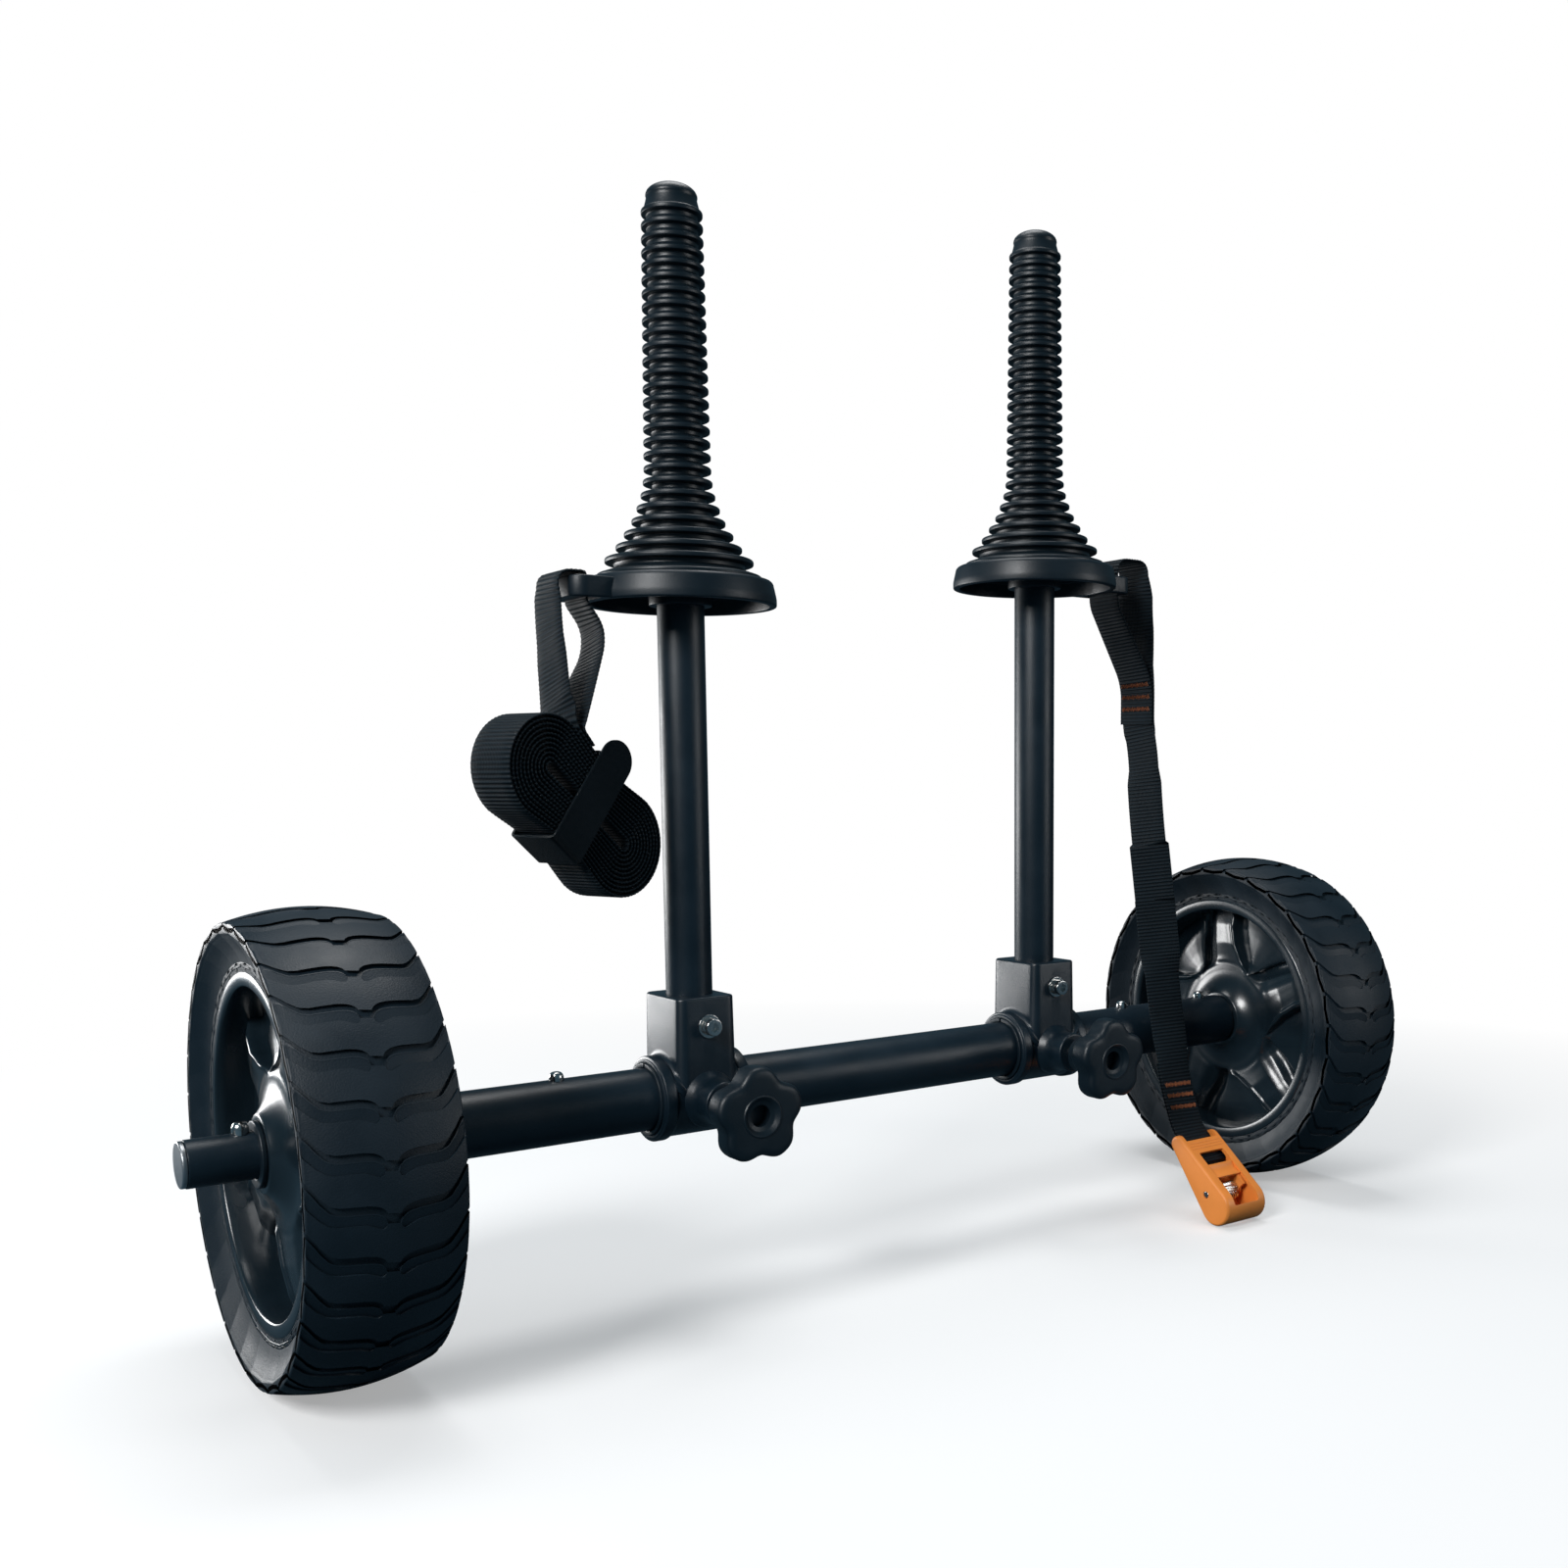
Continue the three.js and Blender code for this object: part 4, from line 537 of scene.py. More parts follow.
def arm_knots(radius):
    """One fifth of a rim face, round from an arm: degrees, height, columns to the next knot."""

    def at(curve):
        return float(np.interp(radius, *curve))

    crest, soft, top = at(CREST_AT), at(SOFT_AT), at(TOP_AT)
    pane, deep = at(PANE_AT), at(DEEP_AT)
    degree = degrees(1 / radius)  # of one millimetre round the ring
    share = float(np.interp(radius, (HUB_EDGE, HUB_EDGE + HUB_EASE), (0, 1)))
    knots = [
        (1.0 * degree - soft, deep, 1),
        (4.5 * degree - soft, lerp(deep, top, 0.10), 3),
        (-0.55 * soft, lerp(deep, top, 0.50), 4),
        (-0.1 * soft, lerp(deep, top, 0.80), 4),
        (crest - 9 * degree, top - 1.9 * share, 6),
        (crest - 5.5 * degree, top - 1.7 * share, 2),
        (crest - 4.2 * degree, top - 0.5 * share, 2),
        (crest - 2.6 * degree, top, 2),
        (crest - 1.0 * degree, top - 0.35 * share, 2),
        (crest - 0.2 * degree, top - 1.5 * share, 2),
        (crest + 0.6 * degree, lerp(pane, top, 0.25), 2),
        (crest + 1.6 * degree, pane, 2),
    ]
    start = crest + 1.6 * degree
    gap = max(360 / ARMS - soft - start, 0.8)
    for s in (0.25, 0.5, 0.75):
        knots.append((start + 0.9 * gap * s, pane + at(BULGE_AT) * sin(pi * s), 3))
    knots.append((start + 0.9 * gap, pane + 0.1, 3))
    knots.append((start + 0.93 * gap, pane - 0.6 * share, 2))
    knots.append((start + 0.97 * gap, deep + 0.2 * share, 2))
    return knots


def rim_rows():
    """Rings from the bore to the tyre's seat: height, or None for the knots', radius, bend's share."""
    rows = list(HUB_PROFILE)
    for share in np.linspace(0.02, 1, 9):
        height = HUB_FACE + CONE_RISE * (1 - share) ** 2.2
        rows.append((height, lerp(CONE_START, HUB_EDGE, share), share))
    for radius in np.arange(HUB_EDGE + 1, PANE_END - 0.1, RING_STEP):
        rows.append((None, float(radius), 1))
    return rows + [(None, PANE_END - 0.3, 1), *BAND_PROFILE]


def rim_ring(height, radius, share, face, turn):
    knots = arm_knots(min(max(radius, HUB_EDGE), PANE_END))
    arm = 360 / ARMS
    knots.append((knots[0][0] + arm, knots[0][1], 0))
    columns = sum(count for _, _, count in knots)
    out = radius - HUB_EDGE
    ring = []
    for n in range(ARMS):
        for (start, low, count), (end, high, _) in zip(knots, knots[1:]):
            for k in range(count):
                step = k / count
                bent = lerp(low, high, step * step * (3 - 2 * step) if count > 2 else step)
                if height is None and out < HUB_EASE:
                    bent = lerp(HUB_FACE - 0.2 * out, bent, out / HUB_EASE)
                stands = bent if height is None else height
                if radius == PANE_END:
                    stands = max(height, bent)
                even = -arm / 2 + arm * (len(ring) % columns) / columns
                angle = lerp(even, lerp(start, end, step), share) + n * arm
                ring.append(about("x", face * stands, radius, radians(face * angle - turn)))
    return ring


def rim(turn):
    points, faces = [], []
    for face in (1, -1):
        rows = [rim_ring(*row, face, turn) for row in rim_rows()]
        faces += quads(len(rows), len(rows[0]), first=len(points))
        points += [point for ring in rows for point in ring]
    return piece(points, faces, weld=1e-3)


HUB_BUSH = (
    (9.2, 12.8), (9.2, 15), (28.7, 15), (28.7, 17.75, 0.3), (31.2, 17.75, 0.8), (31.2, 12.8, 0.5),
)
RIM_TURN = {"left": 16, "right": -8}


def add_wheel(name, side):
    at = (side * WHEEL_X, 0, AXLE_Z)
    wheel = "wheel_" + name
    place(tyre(), "tyre_look_" + name, wheel, "tyre_rubber", "tyre_" + name, at, smooth=40)
    made = rim(RIM_TURN[name])
    place(made, "rim_look_" + name, wheel, "rim_plastic", "rim_" + name, at, smooth=50)
    for title, way in (("outer_", side), ("inner_", -side)):
        bush = facing(lathe(HUB_BUSH, closed=True, segments=72), way)
        node = "hub_bush_" + title + name
        place(bush, node + "_look", wheel, "black_plastic", node, at)


# Clamps

COLLAR_RADIUS, COLLAR_HALF = 24.3, 30
# One half of the collar, from its middle
COLLAR_PROFILE = (
    (21, COLLAR_RADIUS, 1.0), (22, 26, 1.6), (29, 26, 0.7), (29.4, 24.4, 0.4),
    (COLLAR_HALF, 23.6, 0.3), (COLLAR_HALF, 0),
)
BLOCK_X, BLOCK_Y, BLOCK_CORNER, BLOCK_TOP = 38, 47, 5.5, 62
BLOCK_EDGE, BLOCK_FILLET, BLOCK_SPREAD = 1.4, 5.5, 0.8
CORNER_STEPS = 10
BOSS_END = 44
BOSS_PROFILE = (
    (-BOSS_END, 0), (-BOSS_END, 13.5, 1.4), (-30, 13.5, 3), (-24, 17.5, 1), (-18, 17.5), (-18, 0),
)
SOCKET_FLOOR, SOCKET_RADIUS = 27, 14.3
BOLT_HOLE, STUD_HOLE = 3.3, 4.3
CLAMP_BUSHING, BUSHING_HALF, SPLIT_HALF = (19.3, 22), 31.5, 1
BOLT_PROFILE = (
    (-31.6, 0), (-31.6, 5.2, 0.6), (-25.6, 5.2, 0.3), (-25.6, 3), (31.8, 3, 0.5), (31.8, 0),
)
BOLT_SOCKET, BOLT_SOCKET_RADIUS = (-34, -28.6), 2.89
WASHER, WASHER_RADIUS = (-25.3, -23.8), 7.2
NUT, NUT_RADIUS = (23.8, 29.8), 5.77


def block_outline(inset):
    """The block's outline seen from above, with points along its sides as well as its corners."""
    width, length = BLOCK_X - 2 * inset, BLOCK_Y - 2 * inset
    corners = rectangle(width, length, BLOCK_CORNER - inset, CORNER_STEPS)
    outline = []
    for i, (x, y) in enumerate(corners):
        outline.append((x, y))
        if (i + 1) % (CORNER_STEPS + 1) == 0:
            x_on, y_on = corners[(i + 1) % len(corners)]
            for share in np.linspace(0, 1, 14)[1:-1]:
                outline.append((lerp(x, x_on, share), lerp(y, y_on, share)))
    return outline


def clamp_block():
    """The post's block: straight walls that run out in a hollow curve onto the collar."""
    outline = block_outline(0)
    rows = [[(0, 0, BLOCK_TOP)] * len(outline)]
    for angle in np.linspace(0, pi / 2, 5):
        height = BLOCK_TOP - BLOCK_EDGE * (1 - cos(angle))
        rows.append([(x, y, height) for x, y in block_outline(BLOCK_EDGE * (1 - sin(angle)))])
    for share in (*np.linspace(0, 1, 7), 1.2):
        bend = min(share, 1) * pi / 2
        row = []
        for x, y in outline:
            past_x = max(0, abs(x) - BLOCK_X / 2 + BLOCK_CORNER) * copysign(1, x)
            past_y = max(0, abs(y) - BLOCK_Y / 2 + BLOCK_CORNER) * copysign(1, y)
            outward = Vector((past_x, past_y)).normalized()
            fillet = BLOCK_FILLET * outward.x ** 2
            floor = sqrt(max(0, COLLAR_RADIUS ** 2 - y ** 2)) - 0.4
            out = BLOCK_SPREAD + fillet * (1 - cos(bend))
            height = floor + fillet * (1 - sin(bend)) - OVERRUN * (share > 1)
            row.append((x + outward.x * out, y + outward.y * out, height))
        rows.append(row)
    return skin([*rows, [(0, 0, 0)] * len(outline)], weld=1e-3)


def post_bolt_hole():
    return moved(rod(-BLOCK_Y, BLOCK_Y, BOLT_HOLE, "y", segments=32), z=BOLT_Z)


def clamp_body():
    other_half = [(-along, *rest) for along, *rest in COLLAR_PROFILE[::-1]]
    body = lathe([*other_half, *COLLAR_PROFILE], segments=128)
    combine(body, clamp_block(), lathe(BOSS_PROFILE, "y"))
    half = COLLAR_HALF + OVERRUN
    bore = rod(-half, half, CLAMP_BUSHING[1] + GAP, segments=128)
    socket = rod(SOCKET_FLOOR, BLOCK_TOP + OVERRUN, SOCKET_RADIUS, "z", segments=72)
    stud = rod(-BOSS_END - OVERRUN, 0, STUD_HOLE, "y", segments=32)
    return cut(body, bore, socket, post_bolt_hole(), stud)


KNOB_REACH, KNOB_VALLEY, KNOB_LOBES, KNOB_COLUMNS = 28.25, 5, 5, 160
# Places along the knob and their radius, or how far the lobed outline is drawn in there
KNOB_NECK = (
    (-60, 4.3), (-50, 4.3), (-50, 11.2), (-50.8, 12), (-68.6, 12), (-69.6, 12.6), (-70, 13.6),
)
KNOB_EDGE = (
    (-70, 4.2), (-70.3, 2.4), (-70.9, 1.1), (-71.9, 0.3), (-73.2, 0), (-82.2, 0),
    (-83.8, 0.35), (-85.0, 1.2), (-85.7, 2.5), (-86.1, 4.4), (-86.2, 6.5),
)
KNOB_DISH = (
    (-86.2, 12.6), (-86.7, 12.2), (-86.8, 11.6), (-86.5, 11.1), (-84.6, 9.4), (-84.0, 8.6),
    (-83.9, 6.9), (-83.6, 6.4), (-77, 6.25), (-77, 0), (-60, 0),
)


def star_knob():
    angles = [2 * pi * k / KNOB_COLUMNS for k in range(KNOB_COLUMNS)]
    lobes = [KNOB_REACH - KNOB_VALLEY * ((1 - cos(KNOB_LOBES * a)) / 2) ** 1.6 for a in angles]
    rows = [[about("y", y, radius, angle) for angle in angles] for y, radius in KNOB_NECK]
    for y, inset in KNOB_EDGE:
        rows.append([about("y", y, reach - inset, angle) for angle, reach in zip(angles, lobes)])
    rows += [[about("y", y, radius, angle) for angle in angles] for y, radius in KNOB_DISH]
    return skin(rows, close_rows=True)


def add_clamp(name, side):
    at = (side * POST_X, 0, AXLE_Z)
    bolt_at = (side * POST_X, 0, AXLE_Z + BOLT_Z)
    clamp, slider, knob = "clamp_" + name, "slider_" + name, "knob_" + name
    bushing = pipe(-BUSHING_HALF, BUSHING_HALF, *CLAMP_BUSHING, edge=0.7, segments=128)
    end = BUSHING_HALF + OVERRUN
    cut(bushing, block((-end, -SPLIT_HALF, 0), (end, SPLIT_HALF, CLAMP_BUSHING[1] + OVERRUN)))
    place(bushing, "bushing_look_" + name, slider, "black_plastic", "clamp_bushing_" + name, at)
    body = clamp_body()
    place(body, "clamp_look_" + name, clamp, "cast_black", "clamp_body_" + name, at, smooth=45)
    bolt = lathe(BOLT_PROFILE, "y", segments=48)
    cut(bolt, rod(*BOLT_SOCKET, BOLT_SOCKET_RADIUS, "y", segments=6))
    place(bolt, "bolt_look_" + name, clamp, "bright_steel", "post_bolt_" + name, bolt_at)
    washer = pipe(*WASHER, BOLT_HOLE, WASHER_RADIUS, "y", edge=0.3, segments=48)
    place(washer, "washer_look_" + name, clamp, "bright_steel", "post_washer_" + name, bolt_at)
    nut = rod(*NUT, NUT_RADIUS, "y", segments=6)
    bevel(cut(nut, rod(0, BLOCK_Y, BOLT_HOLE, "y", segments=32)), 0.3, 2, 40)
    place(nut, "nut_look_" + name, clamp, "bright_steel", "post_nut_" + name, bolt_at)
    place(star_knob(), "knob_look_" + name, knob, "black_plastic", "star_knob_" + name, at, smooth=40)


# Posts

POST_BORE, POST_RADIUS = 12.2, 14
PLATE_SEAT, PLATE_CEILING, PLATE_INSIDE = 6, 10, 52.5
PLATE_PROFILE = (
    (PLATE_CEILING, 0), (PLATE_CEILING, PLATE_INSIDE, 1), (0, PLATE_INSIDE, 0.8), (0, 57, 1.2),
    (4.5, 57, 1.2), (13.6, 55.0, 1.2), (PLATE_HEIGHT, 53.4, 0.8), (PLATE_HEIGHT, 48.8),
    (14, 48.8), (14, 0),
)
EAR_REACH, EAR_HALF, EAR_CORNER, EAR_HEIGHT = 76, 20, 9, 12
SLOT_AT, SLOT_WIDTH, SLOT_LENGTH = 62.5, 9, 34
BOSS_HEIGHT, BOSS_RADIUS = 13, 18.5
SLEEVE_TOP, DOME_HEIGHT, DOME_RADIUS = 225, 8.4, 15.4
RIBS, RIBS_START, RIBS_SPAN = 27, 3, 213
SKIRT_RADIUS, RIB_LOW, RIB_HIGH = 48.5, 19.75, 17.75
FLARE_SHARES = (0.9, 0.763, 0.66, 0.567, 0.502, 0.45, 0.42)  # of the skirt, for the lowest ribs
SLEEVE_GROOVE, FLARE_GROOVE = 14.5, 5.5
# A rib's section: places along the sleeve from its middle, and how far each lies below its crest
RIB_SECTION = ((-1.7, 1.4, 0.3), (-1.35, 0.12, 0.3), (0.55, 0, 0.5), (1.25, 0.5, 0.35), (1.7, 1.6, 0.4))


def post_plate():
    """A hollow round plate with a slotted ear on one side."""
    outline = [(0, -EAR_HALF)]
    for way, start in ((-1, -90), (1, 0)):
        for k in range(9):
            angle = radians(start + 90 * k / 8)
            x, y = EAR_CORNER * cos(angle), EAR_CORNER * sin(angle)
            outline.append((EAR_REACH - EAR_CORNER + x, way * (EAR_HALF - EAR_CORNER) + y))
    outline.append((0, EAR_HALF))
    ear = bevel(prism(outline, 0, EAR_HEIGHT), 1.2, 3, 60)
    low = (-OVERRUN, -EAR_HALF - OVERRUN, -OVERRUN)
    cut(ear, block(low, (PLATE_INSIDE, EAR_HALF + OVERRUN, PLATE_CEILING)))
    boss = rod(0, BOSS_HEIGHT, BOSS_RADIUS, "z", edge=0.8)
    body = combine(lathe(PLATE_PROFILE, "z"), ear, boss)
    top = PLATE_HEIGHT + OVERRUN
    slot = moved(prism(rectangle(SLOT_WIDTH, SLOT_LENGTH, 1.5, 3), -OVERRUN, top), x=SLOT_AT)
    seat = rod(-OVERRUN, PLATE_SEAT, SOCKET_RADIUS, "z")
    return cut(body, slot, seat, rod(-OVERRUN, top, POST_BORE, "z"))


def sleeve():
    """A ribbed sleeve that flares to a skirt at its foot and closes in a dome."""
    pitch = RIBS_SPAN / (RIBS + 1)
    profile = [(-0.7, POST_BORE), (-0.7, SKIRT_RADIUS - 0.5, 0.3), (2.4, SKIRT_RADIUS, 1.1)]
    flares = len(FLARE_SHARES)
    for i in range(RIBS):
        if i < flares:
            crest = SKIRT_RADIUS * FLARE_SHARES[i]
        else:
            crest = lerp(RIB_LOW, RIB_HIGH, (i - flares) / (RIBS - 1 - flares))
        low = max(SLEEVE_GROOVE, crest - FLARE_GROOVE)
        middle = RIBS_START + pitch * (i + 1)
        profile += [(middle - 0.62 * pitch, low, 0.8), (middle - 1.9, low + 0.2, 0.5)]
        for along, below, cut_back in RIB_SECTION:
            profile.append((middle + along, max(low + 0.3, crest - below), cut_back))
    base = SLEEVE_TOP - DOME_HEIGHT
    profile += [(base, SLEEVE_GROOVE, 1.2), (base + 1.6, DOME_RADIUS - 0.3, 1.0)]
    for angle in np.linspace(0.45, 1.5, 10):
        profile.append((base + DOME_HEIGHT * sin(angle), DOME_RADIUS * cos(angle) ** 0.8))
    return lathe([*profile, (SLEEVE_TOP, 0)], "z", steps=3)


def add_post(name, side):
    at = (side * POST_X, 0, AXLE_Z)
    plate_z = PLATE_Z[name]
    clamp = "clamp_" + name
    foot, head = SOCKET_FLOOR + GAP, plate_z + PLATE_SEAT - GAP
    post = cut(pipe(foot, head, POST_BORE, POST_RADIUS, "z", edge=0.4, segments=80), post_bolt_hole())
    place(post, "post_look_" + name, clamp, "black_tube", "post_tube_" + name, at)
    plate = facing(post_plate(), side)
    plate_at = (side * POST_X, 0, AXLE_Z + plate_z)
    place(plate, "plate_look_" + name, clamp, "black_plastic", "post_plate_" + name, plate_at)
    sleeve_at = (side * POST_X, 0, AXLE_Z + plate_z + PLATE_HEIGHT)
    node = "post_sleeve_" + name
    place(sleeve(), "sleeve_look_" + name, clamp, "sleeve_rubber", node, sleeve_at, smooth=60)


# Straps: places are out and forward from the post's axis and down from the plate's underside

WEB_WIDTH, WEB_GAUGE, LAYER_PITCH, RIB_RISE = 30, 1.6, 2.3, 0.14
LOOP_INNER = SLOT_AT + SLOT_WIDTH / 2 - GAP - WEB_GAUGE / 2
BELLY_DROP = 12
LEFT_LOOP = {"rise": 2.4, "slack": 7, "corner": 3, "bend": 2, "turn": 5}
RIGHT_LOOP = {"rise": 13, "slack": 20, "corner": 10, "bend": 7, "turn": 24}
LEFT_INNER_BACK, LEFT_INNER_KNEE, LEFT_OUTER_KNEE = (57, 0.5, 15), (58, 3, 28), (84.3, 8, 47)
FOOT_START, FOOT_END = 6, 18
RIGHT_SEAM, RIGHT_SEAM_TURN, RIGHT_SEAM_LENGTH = (98, 3, 62), 6, 30
ROLL_TURNS, ROLL_PITCH, ROLL_CORE = 11, 2.6, 2.2
ROLL_OUTER = ROLL_CORE + ROLL_TURNS * ROLL_PITCH
ROLL_UPPER, ROLL_LOWER, ROLL_TURN = (105.8, 25, 94.9), (55, 7, 139.3), 20.6
WAIST = 0.86
# Out, front, drop and turn, as shares of the way from the upper seam to the buckle
HANG_SHARES = (
    (0.79, 0.057, 0.075, -0.05), (0.66, 0.132, 0.224, 0.07), (1.45, 0.227, 0.373, 0.32),
    (1.97, 0.32, 0.51, 0.56), (1.9, 0.49, 0.708, 0.88), (1.45, 0.756, 0.904, 1),
)
BUCKLE_AT, BUCKLE_TILT, BUCKLE_SEAM = (101.8, 60, 393), radians(45.6), 48
BAR_AT, BAR_RADIUS = 23, 2.5


def width_at(turn):
    """The level direction across a band, turned in degrees from -Y towards +X."""
    angle = radians(turn)
    return Vector((sin(angle), -cos(angle), 0))


def strap_place(name, out, front, drop):
    return Vector((SIDES[name] * out, -front, PLATE_Z[name] - drop))


def bend_line(rows, bend_steps=8):
    """Rows of place, turn and reach, each corner with a reach rounded off, as places and turns."""
    line = []
    for i, (at, turn, reach) in enumerate(rows):
        if not reach:
            line.append((at, turn))
            continue
        before, after = rows[i - 1][0], rows[i + 1][0]
        back, on = (before - at).length, (after - at).length
        reach = min(reach, back / 2, on / 2)
        start, end = at.lerp(before, reach / back), at.lerp(after, reach / on)
        for k in range(bend_steps + 1):
            t = k / bend_steps
            line.append((start * (1 - t) ** 2 + at * 2 * t * (1 - t) + end * t ** 2, turn))
    return line


def even_line(line, step):
    """The same line in equal steps, its turns eased, as places and directions across the band."""
    run = [0.0]
    for (here, _), (following, _) in zip(line, line[1:]):
        run.append(run[-1] + (following - here).length)
    marks = np.linspace(0, run[-1], max(2, round(run[-1] / step)) + 1)
    places = np.array([np.interp(marks, run, [at[i] for at, _ in line]) for i in range(3)]).T
    turns = np.interp(marks, run, [turn for _, turn in line])
    return [(Vector(at), width_at(turn)) for at, turn in zip(places, turns)], run[-1]


def frame_at(line, i):
    """The band's direction across and out of its face at one place of its line."""
    before, after = line[max(i - 1, 0)][0], line[min(i + 1, len(line) - 1)][0]
    along = (after - before).normalized()
    wide = line[i][1]
    wide = (wide - along * wide.dot(along)).normalized()
    return wide, along.cross(wide)


def weave_map(obj, marks):
    weave = obj.data.uv_layers.new(name="weave")
    for loop in obj.data.loops:
        weave.data[loop.index].uv = marks[loop.vertex_index]
    return obj


def band(line, length):
    """A closed ribbed band with rounded edges along an even line, with a map for its weave."""
    half, thick = WEB_WIDTH / 2, WEB_GAUGE / 2
    section = [(u * (half - 0.6), 1) for u in np.linspace(-1, 1, 5)] + [(half - 0.1, 0.55), (half, 0)]
    section += [(half - 0.1, -0.55)] + [(-u, -v) for u, v in section[:5]]
    section += [(0.1 - half, -0.55), (-half, 0), (0.1 - half, 0.55)]
    points, marks = [], []
    for i, (at, _) in enumerate(line):
        wide, face = frame_at(line, i)
        run = length * i / (len(line) - 1)
        rise = thick + RIB_RISE * (cos(2 * pi * run / WEB_RIB) - 1)
        for u, v in section:
            points.append(at + wide * u + face * v * rise)
            marks.append((u * METRES, run * METRES))
    count = len(section)
    faces = quads(len(line), count) + ends(count, len(line))
    return weave_map(piece(points, faces, weld=0), marks)


def ear_loop(name, loop):
    side = SIDES[name]
    top, outer = EAR_HEIGHT + loop["rise"], EAR_REACH + loop["slack"]

    def at(out, rise):
        return Vector((side * out, 0, PLATE_Z[name] + rise))

    return [
        (at(LOOP_INNER, -loop["bend"]), 0, loop["bend"]),
        (at(LOOP_INNER, top), 0, loop["corner"]),
        (at(outer, top), 0, 10),
        (at(outer, -BELLY_DROP), loop["turn"], 12),
    ]


def roll_frame():
    upper, lower = strap_place("left", *ROLL_UPPER), strap_place("left", *ROLL_LOWER)
    across = width_at(ROLL_TURN)
    along = lower - upper
    along -= across * along.dot(across)
    outward = across.cross(along.normalized())
    if outward.z < 0:
        outward.negate()
    return upper, across, along.normalized(), outward, along.length


def roll_line(steps=20):
    """The flat roll, half a turn at a time: a run drawn in at the waist, then a half circle."""
    upper, _, along, outward, span = roll_frame()
    line = []
    for half in range(2 * ROLL_TURNS):
        start = ROLL_OUTER - ROLL_PITCH * half / 2
        sign = 1 if half % 2 == 0 else -1
        centre = span if half % 2 == 0 else 0
        for k in range(12):
            onward = lerp(span - centre, centre, k / 12)
            waist = 1 - (1 - WAIST) * sin(pi * k / 12) ** 1.3
            line.append((upper + along * onward + outward * (sign * start * waist), ROLL_TURN))
        for k in range(steps):
            radius = start - ROLL_PITCH / 2 * k / steps
            angle = pi * k / steps
            onward = along * (centre + sign * radius * sin(angle))
            line.append((upper + onward + outward * (sign * radius * cos(angle)), ROLL_TURN))
    return line


def left_line():
    upper, _, along, outward, span = roll_frame()

    def foot(onward):
        waist = 1 - (1 - WAIST) * sin(pi * onward / span) ** 1.3
        return upper + along * onward + outward * (ROLL_OUTER * waist + LAYER_PITCH)

    roll = roll_line()
    rows = [
        (foot(FOOT_END), ROLL_TURN, 0),
        (foot((FOOT_START + FOOT_END) / 2), ROLL_TURN, 0),
        (foot(FOOT_START), ROLL_TURN, 5),
        (strap_place("left", *LEFT_INNER_KNEE), 0, 14),
        (strap_place("left", *LEFT_INNER_BACK), 0, 8),
        *ear_loop("left", LEFT_LOOP),
        (strap_place("left", *LEFT_OUTER_KNEE), 8, 14),
        (roll[0][0], ROLL_TURN, 7),
        (roll[2][0], ROLL_TURN, 0),
    ]
    return bend_line(rows) + roll[3:]


def buckle_place(down, out):
    at = strap_place("right", *BUCKLE_AT)
    at.y -= down * cos(BUCKLE_TILT) + out * sin(BUCKLE_TILT)
    at.z += out * cos(BUCKLE_TILT) - down * sin(BUCKLE_TILT)
    return at


def right_line():
    top, half, seam = strap_place("right", *RIGHT_SEAM), LAYER_PITCH / 2, RIGHT_SEAM_TURN
    apart = width_at(seam + 90) * half
    down = Vector((0, 0, -RIGHT_SEAM_LENGTH))
    start, entry = top + apart + down, buckle_place(-7, half)
    rows = [(top - apart + down, seam, 0), (top - apart, seam, 12)]
    rows += [*ear_loop("right", RIGHT_LOOP), (top + apart, seam, 12), (start, seam, 6)]
    for *shares, turn in HANG_SHARES:
        at = Vector([lerp(low, high, share) for low, high, share in zip(start, entry, shares)])
        rows.append((at, lerp(seam, 90, turn), 24))
    knee, above = rows[-1][0], rows[-2][0]
    wrap = BAR_RADIUS + GAP + WEB_GAUGE / 2
    rows += [(entry, 90, 7), (buckle_place(BAR_AT - 2 * wrap, half), 90, wrap)]
    for angle in np.linspace(0, pi, 13):
        rows.append((buckle_place(BAR_AT + wrap * sin(angle), wrap * cos(angle)), 90, 0))
    rows += [(buckle_place(BAR_AT - 2 * wrap, -half), 90, wrap), (buckle_place(-7, -half), 90, 7)]
    behind = width_at(180) * LAYER_PITCH
    onward = (above - knee).normalized() * (BUCKLE_SEAM - (knee - entry).length)
    rows += [(knee + behind, 90, 7), (knee + behind + onward, 90, 0)]
    return bend_line(rows)


# Stitching: bars of copper thread through the seams of the right strap

STITCH_HALF, STITCH_RISE, STITCH_COUNT, THREAD_RADIUS = 12.8, 1.3, 34, 0.3
UPPER_BARS = (63.8, 72.6, 81.6)
LOWER_BARS = (358.5, 366.5, 374.5)


def thread(path, radius, face, sides=6):
    """Points and faces of a round thread along a path."""
    points = []
    for i, at in enumerate(path):
        along = (path[min(i + 1, len(path) - 1)] - path[max(i - 1, 0)]).normalized()
        beside = along.cross(face).normalized()
        for k in range(sides):
            angle = 2 * pi * k / sides
            points.append(at + face * (radius * cos(angle)) + beside * (radius * sin(angle)))
    return points, quads(len(path), sides) + ends(sides, len(path))


def stitch_bars(line, places):
    """Zigzags of thread on the band's face at places of its line, each with the side that it is on."""
    points, faces = [], []
    for i, side in places:
        wide, face = frame_at(line, i)
        along = wide.cross(face)
        lift = face * side * (WEB_GAUGE / 2 + 0.5 * THREAD_RADIUS)
        path = []
        for k in range(STITCH_COUNT + 1):
            across = lerp(-STITCH_HALF, STITCH_HALF, k / STITCH_COUNT)
            swing = STITCH_RISE * (1 if k % 2 else -1) * (1 + 0.25 * sin(7.3 * k))
            path.append(line[i][0] + lift + wide * across + along * swing)
        new_points, new_faces = thread(path, THREAD_RADIUS, face)
        faces += [tuple(len(points) + corner for corner in f) for f in new_faces]
        points += new_points
    return piece(points, faces, weld=0)


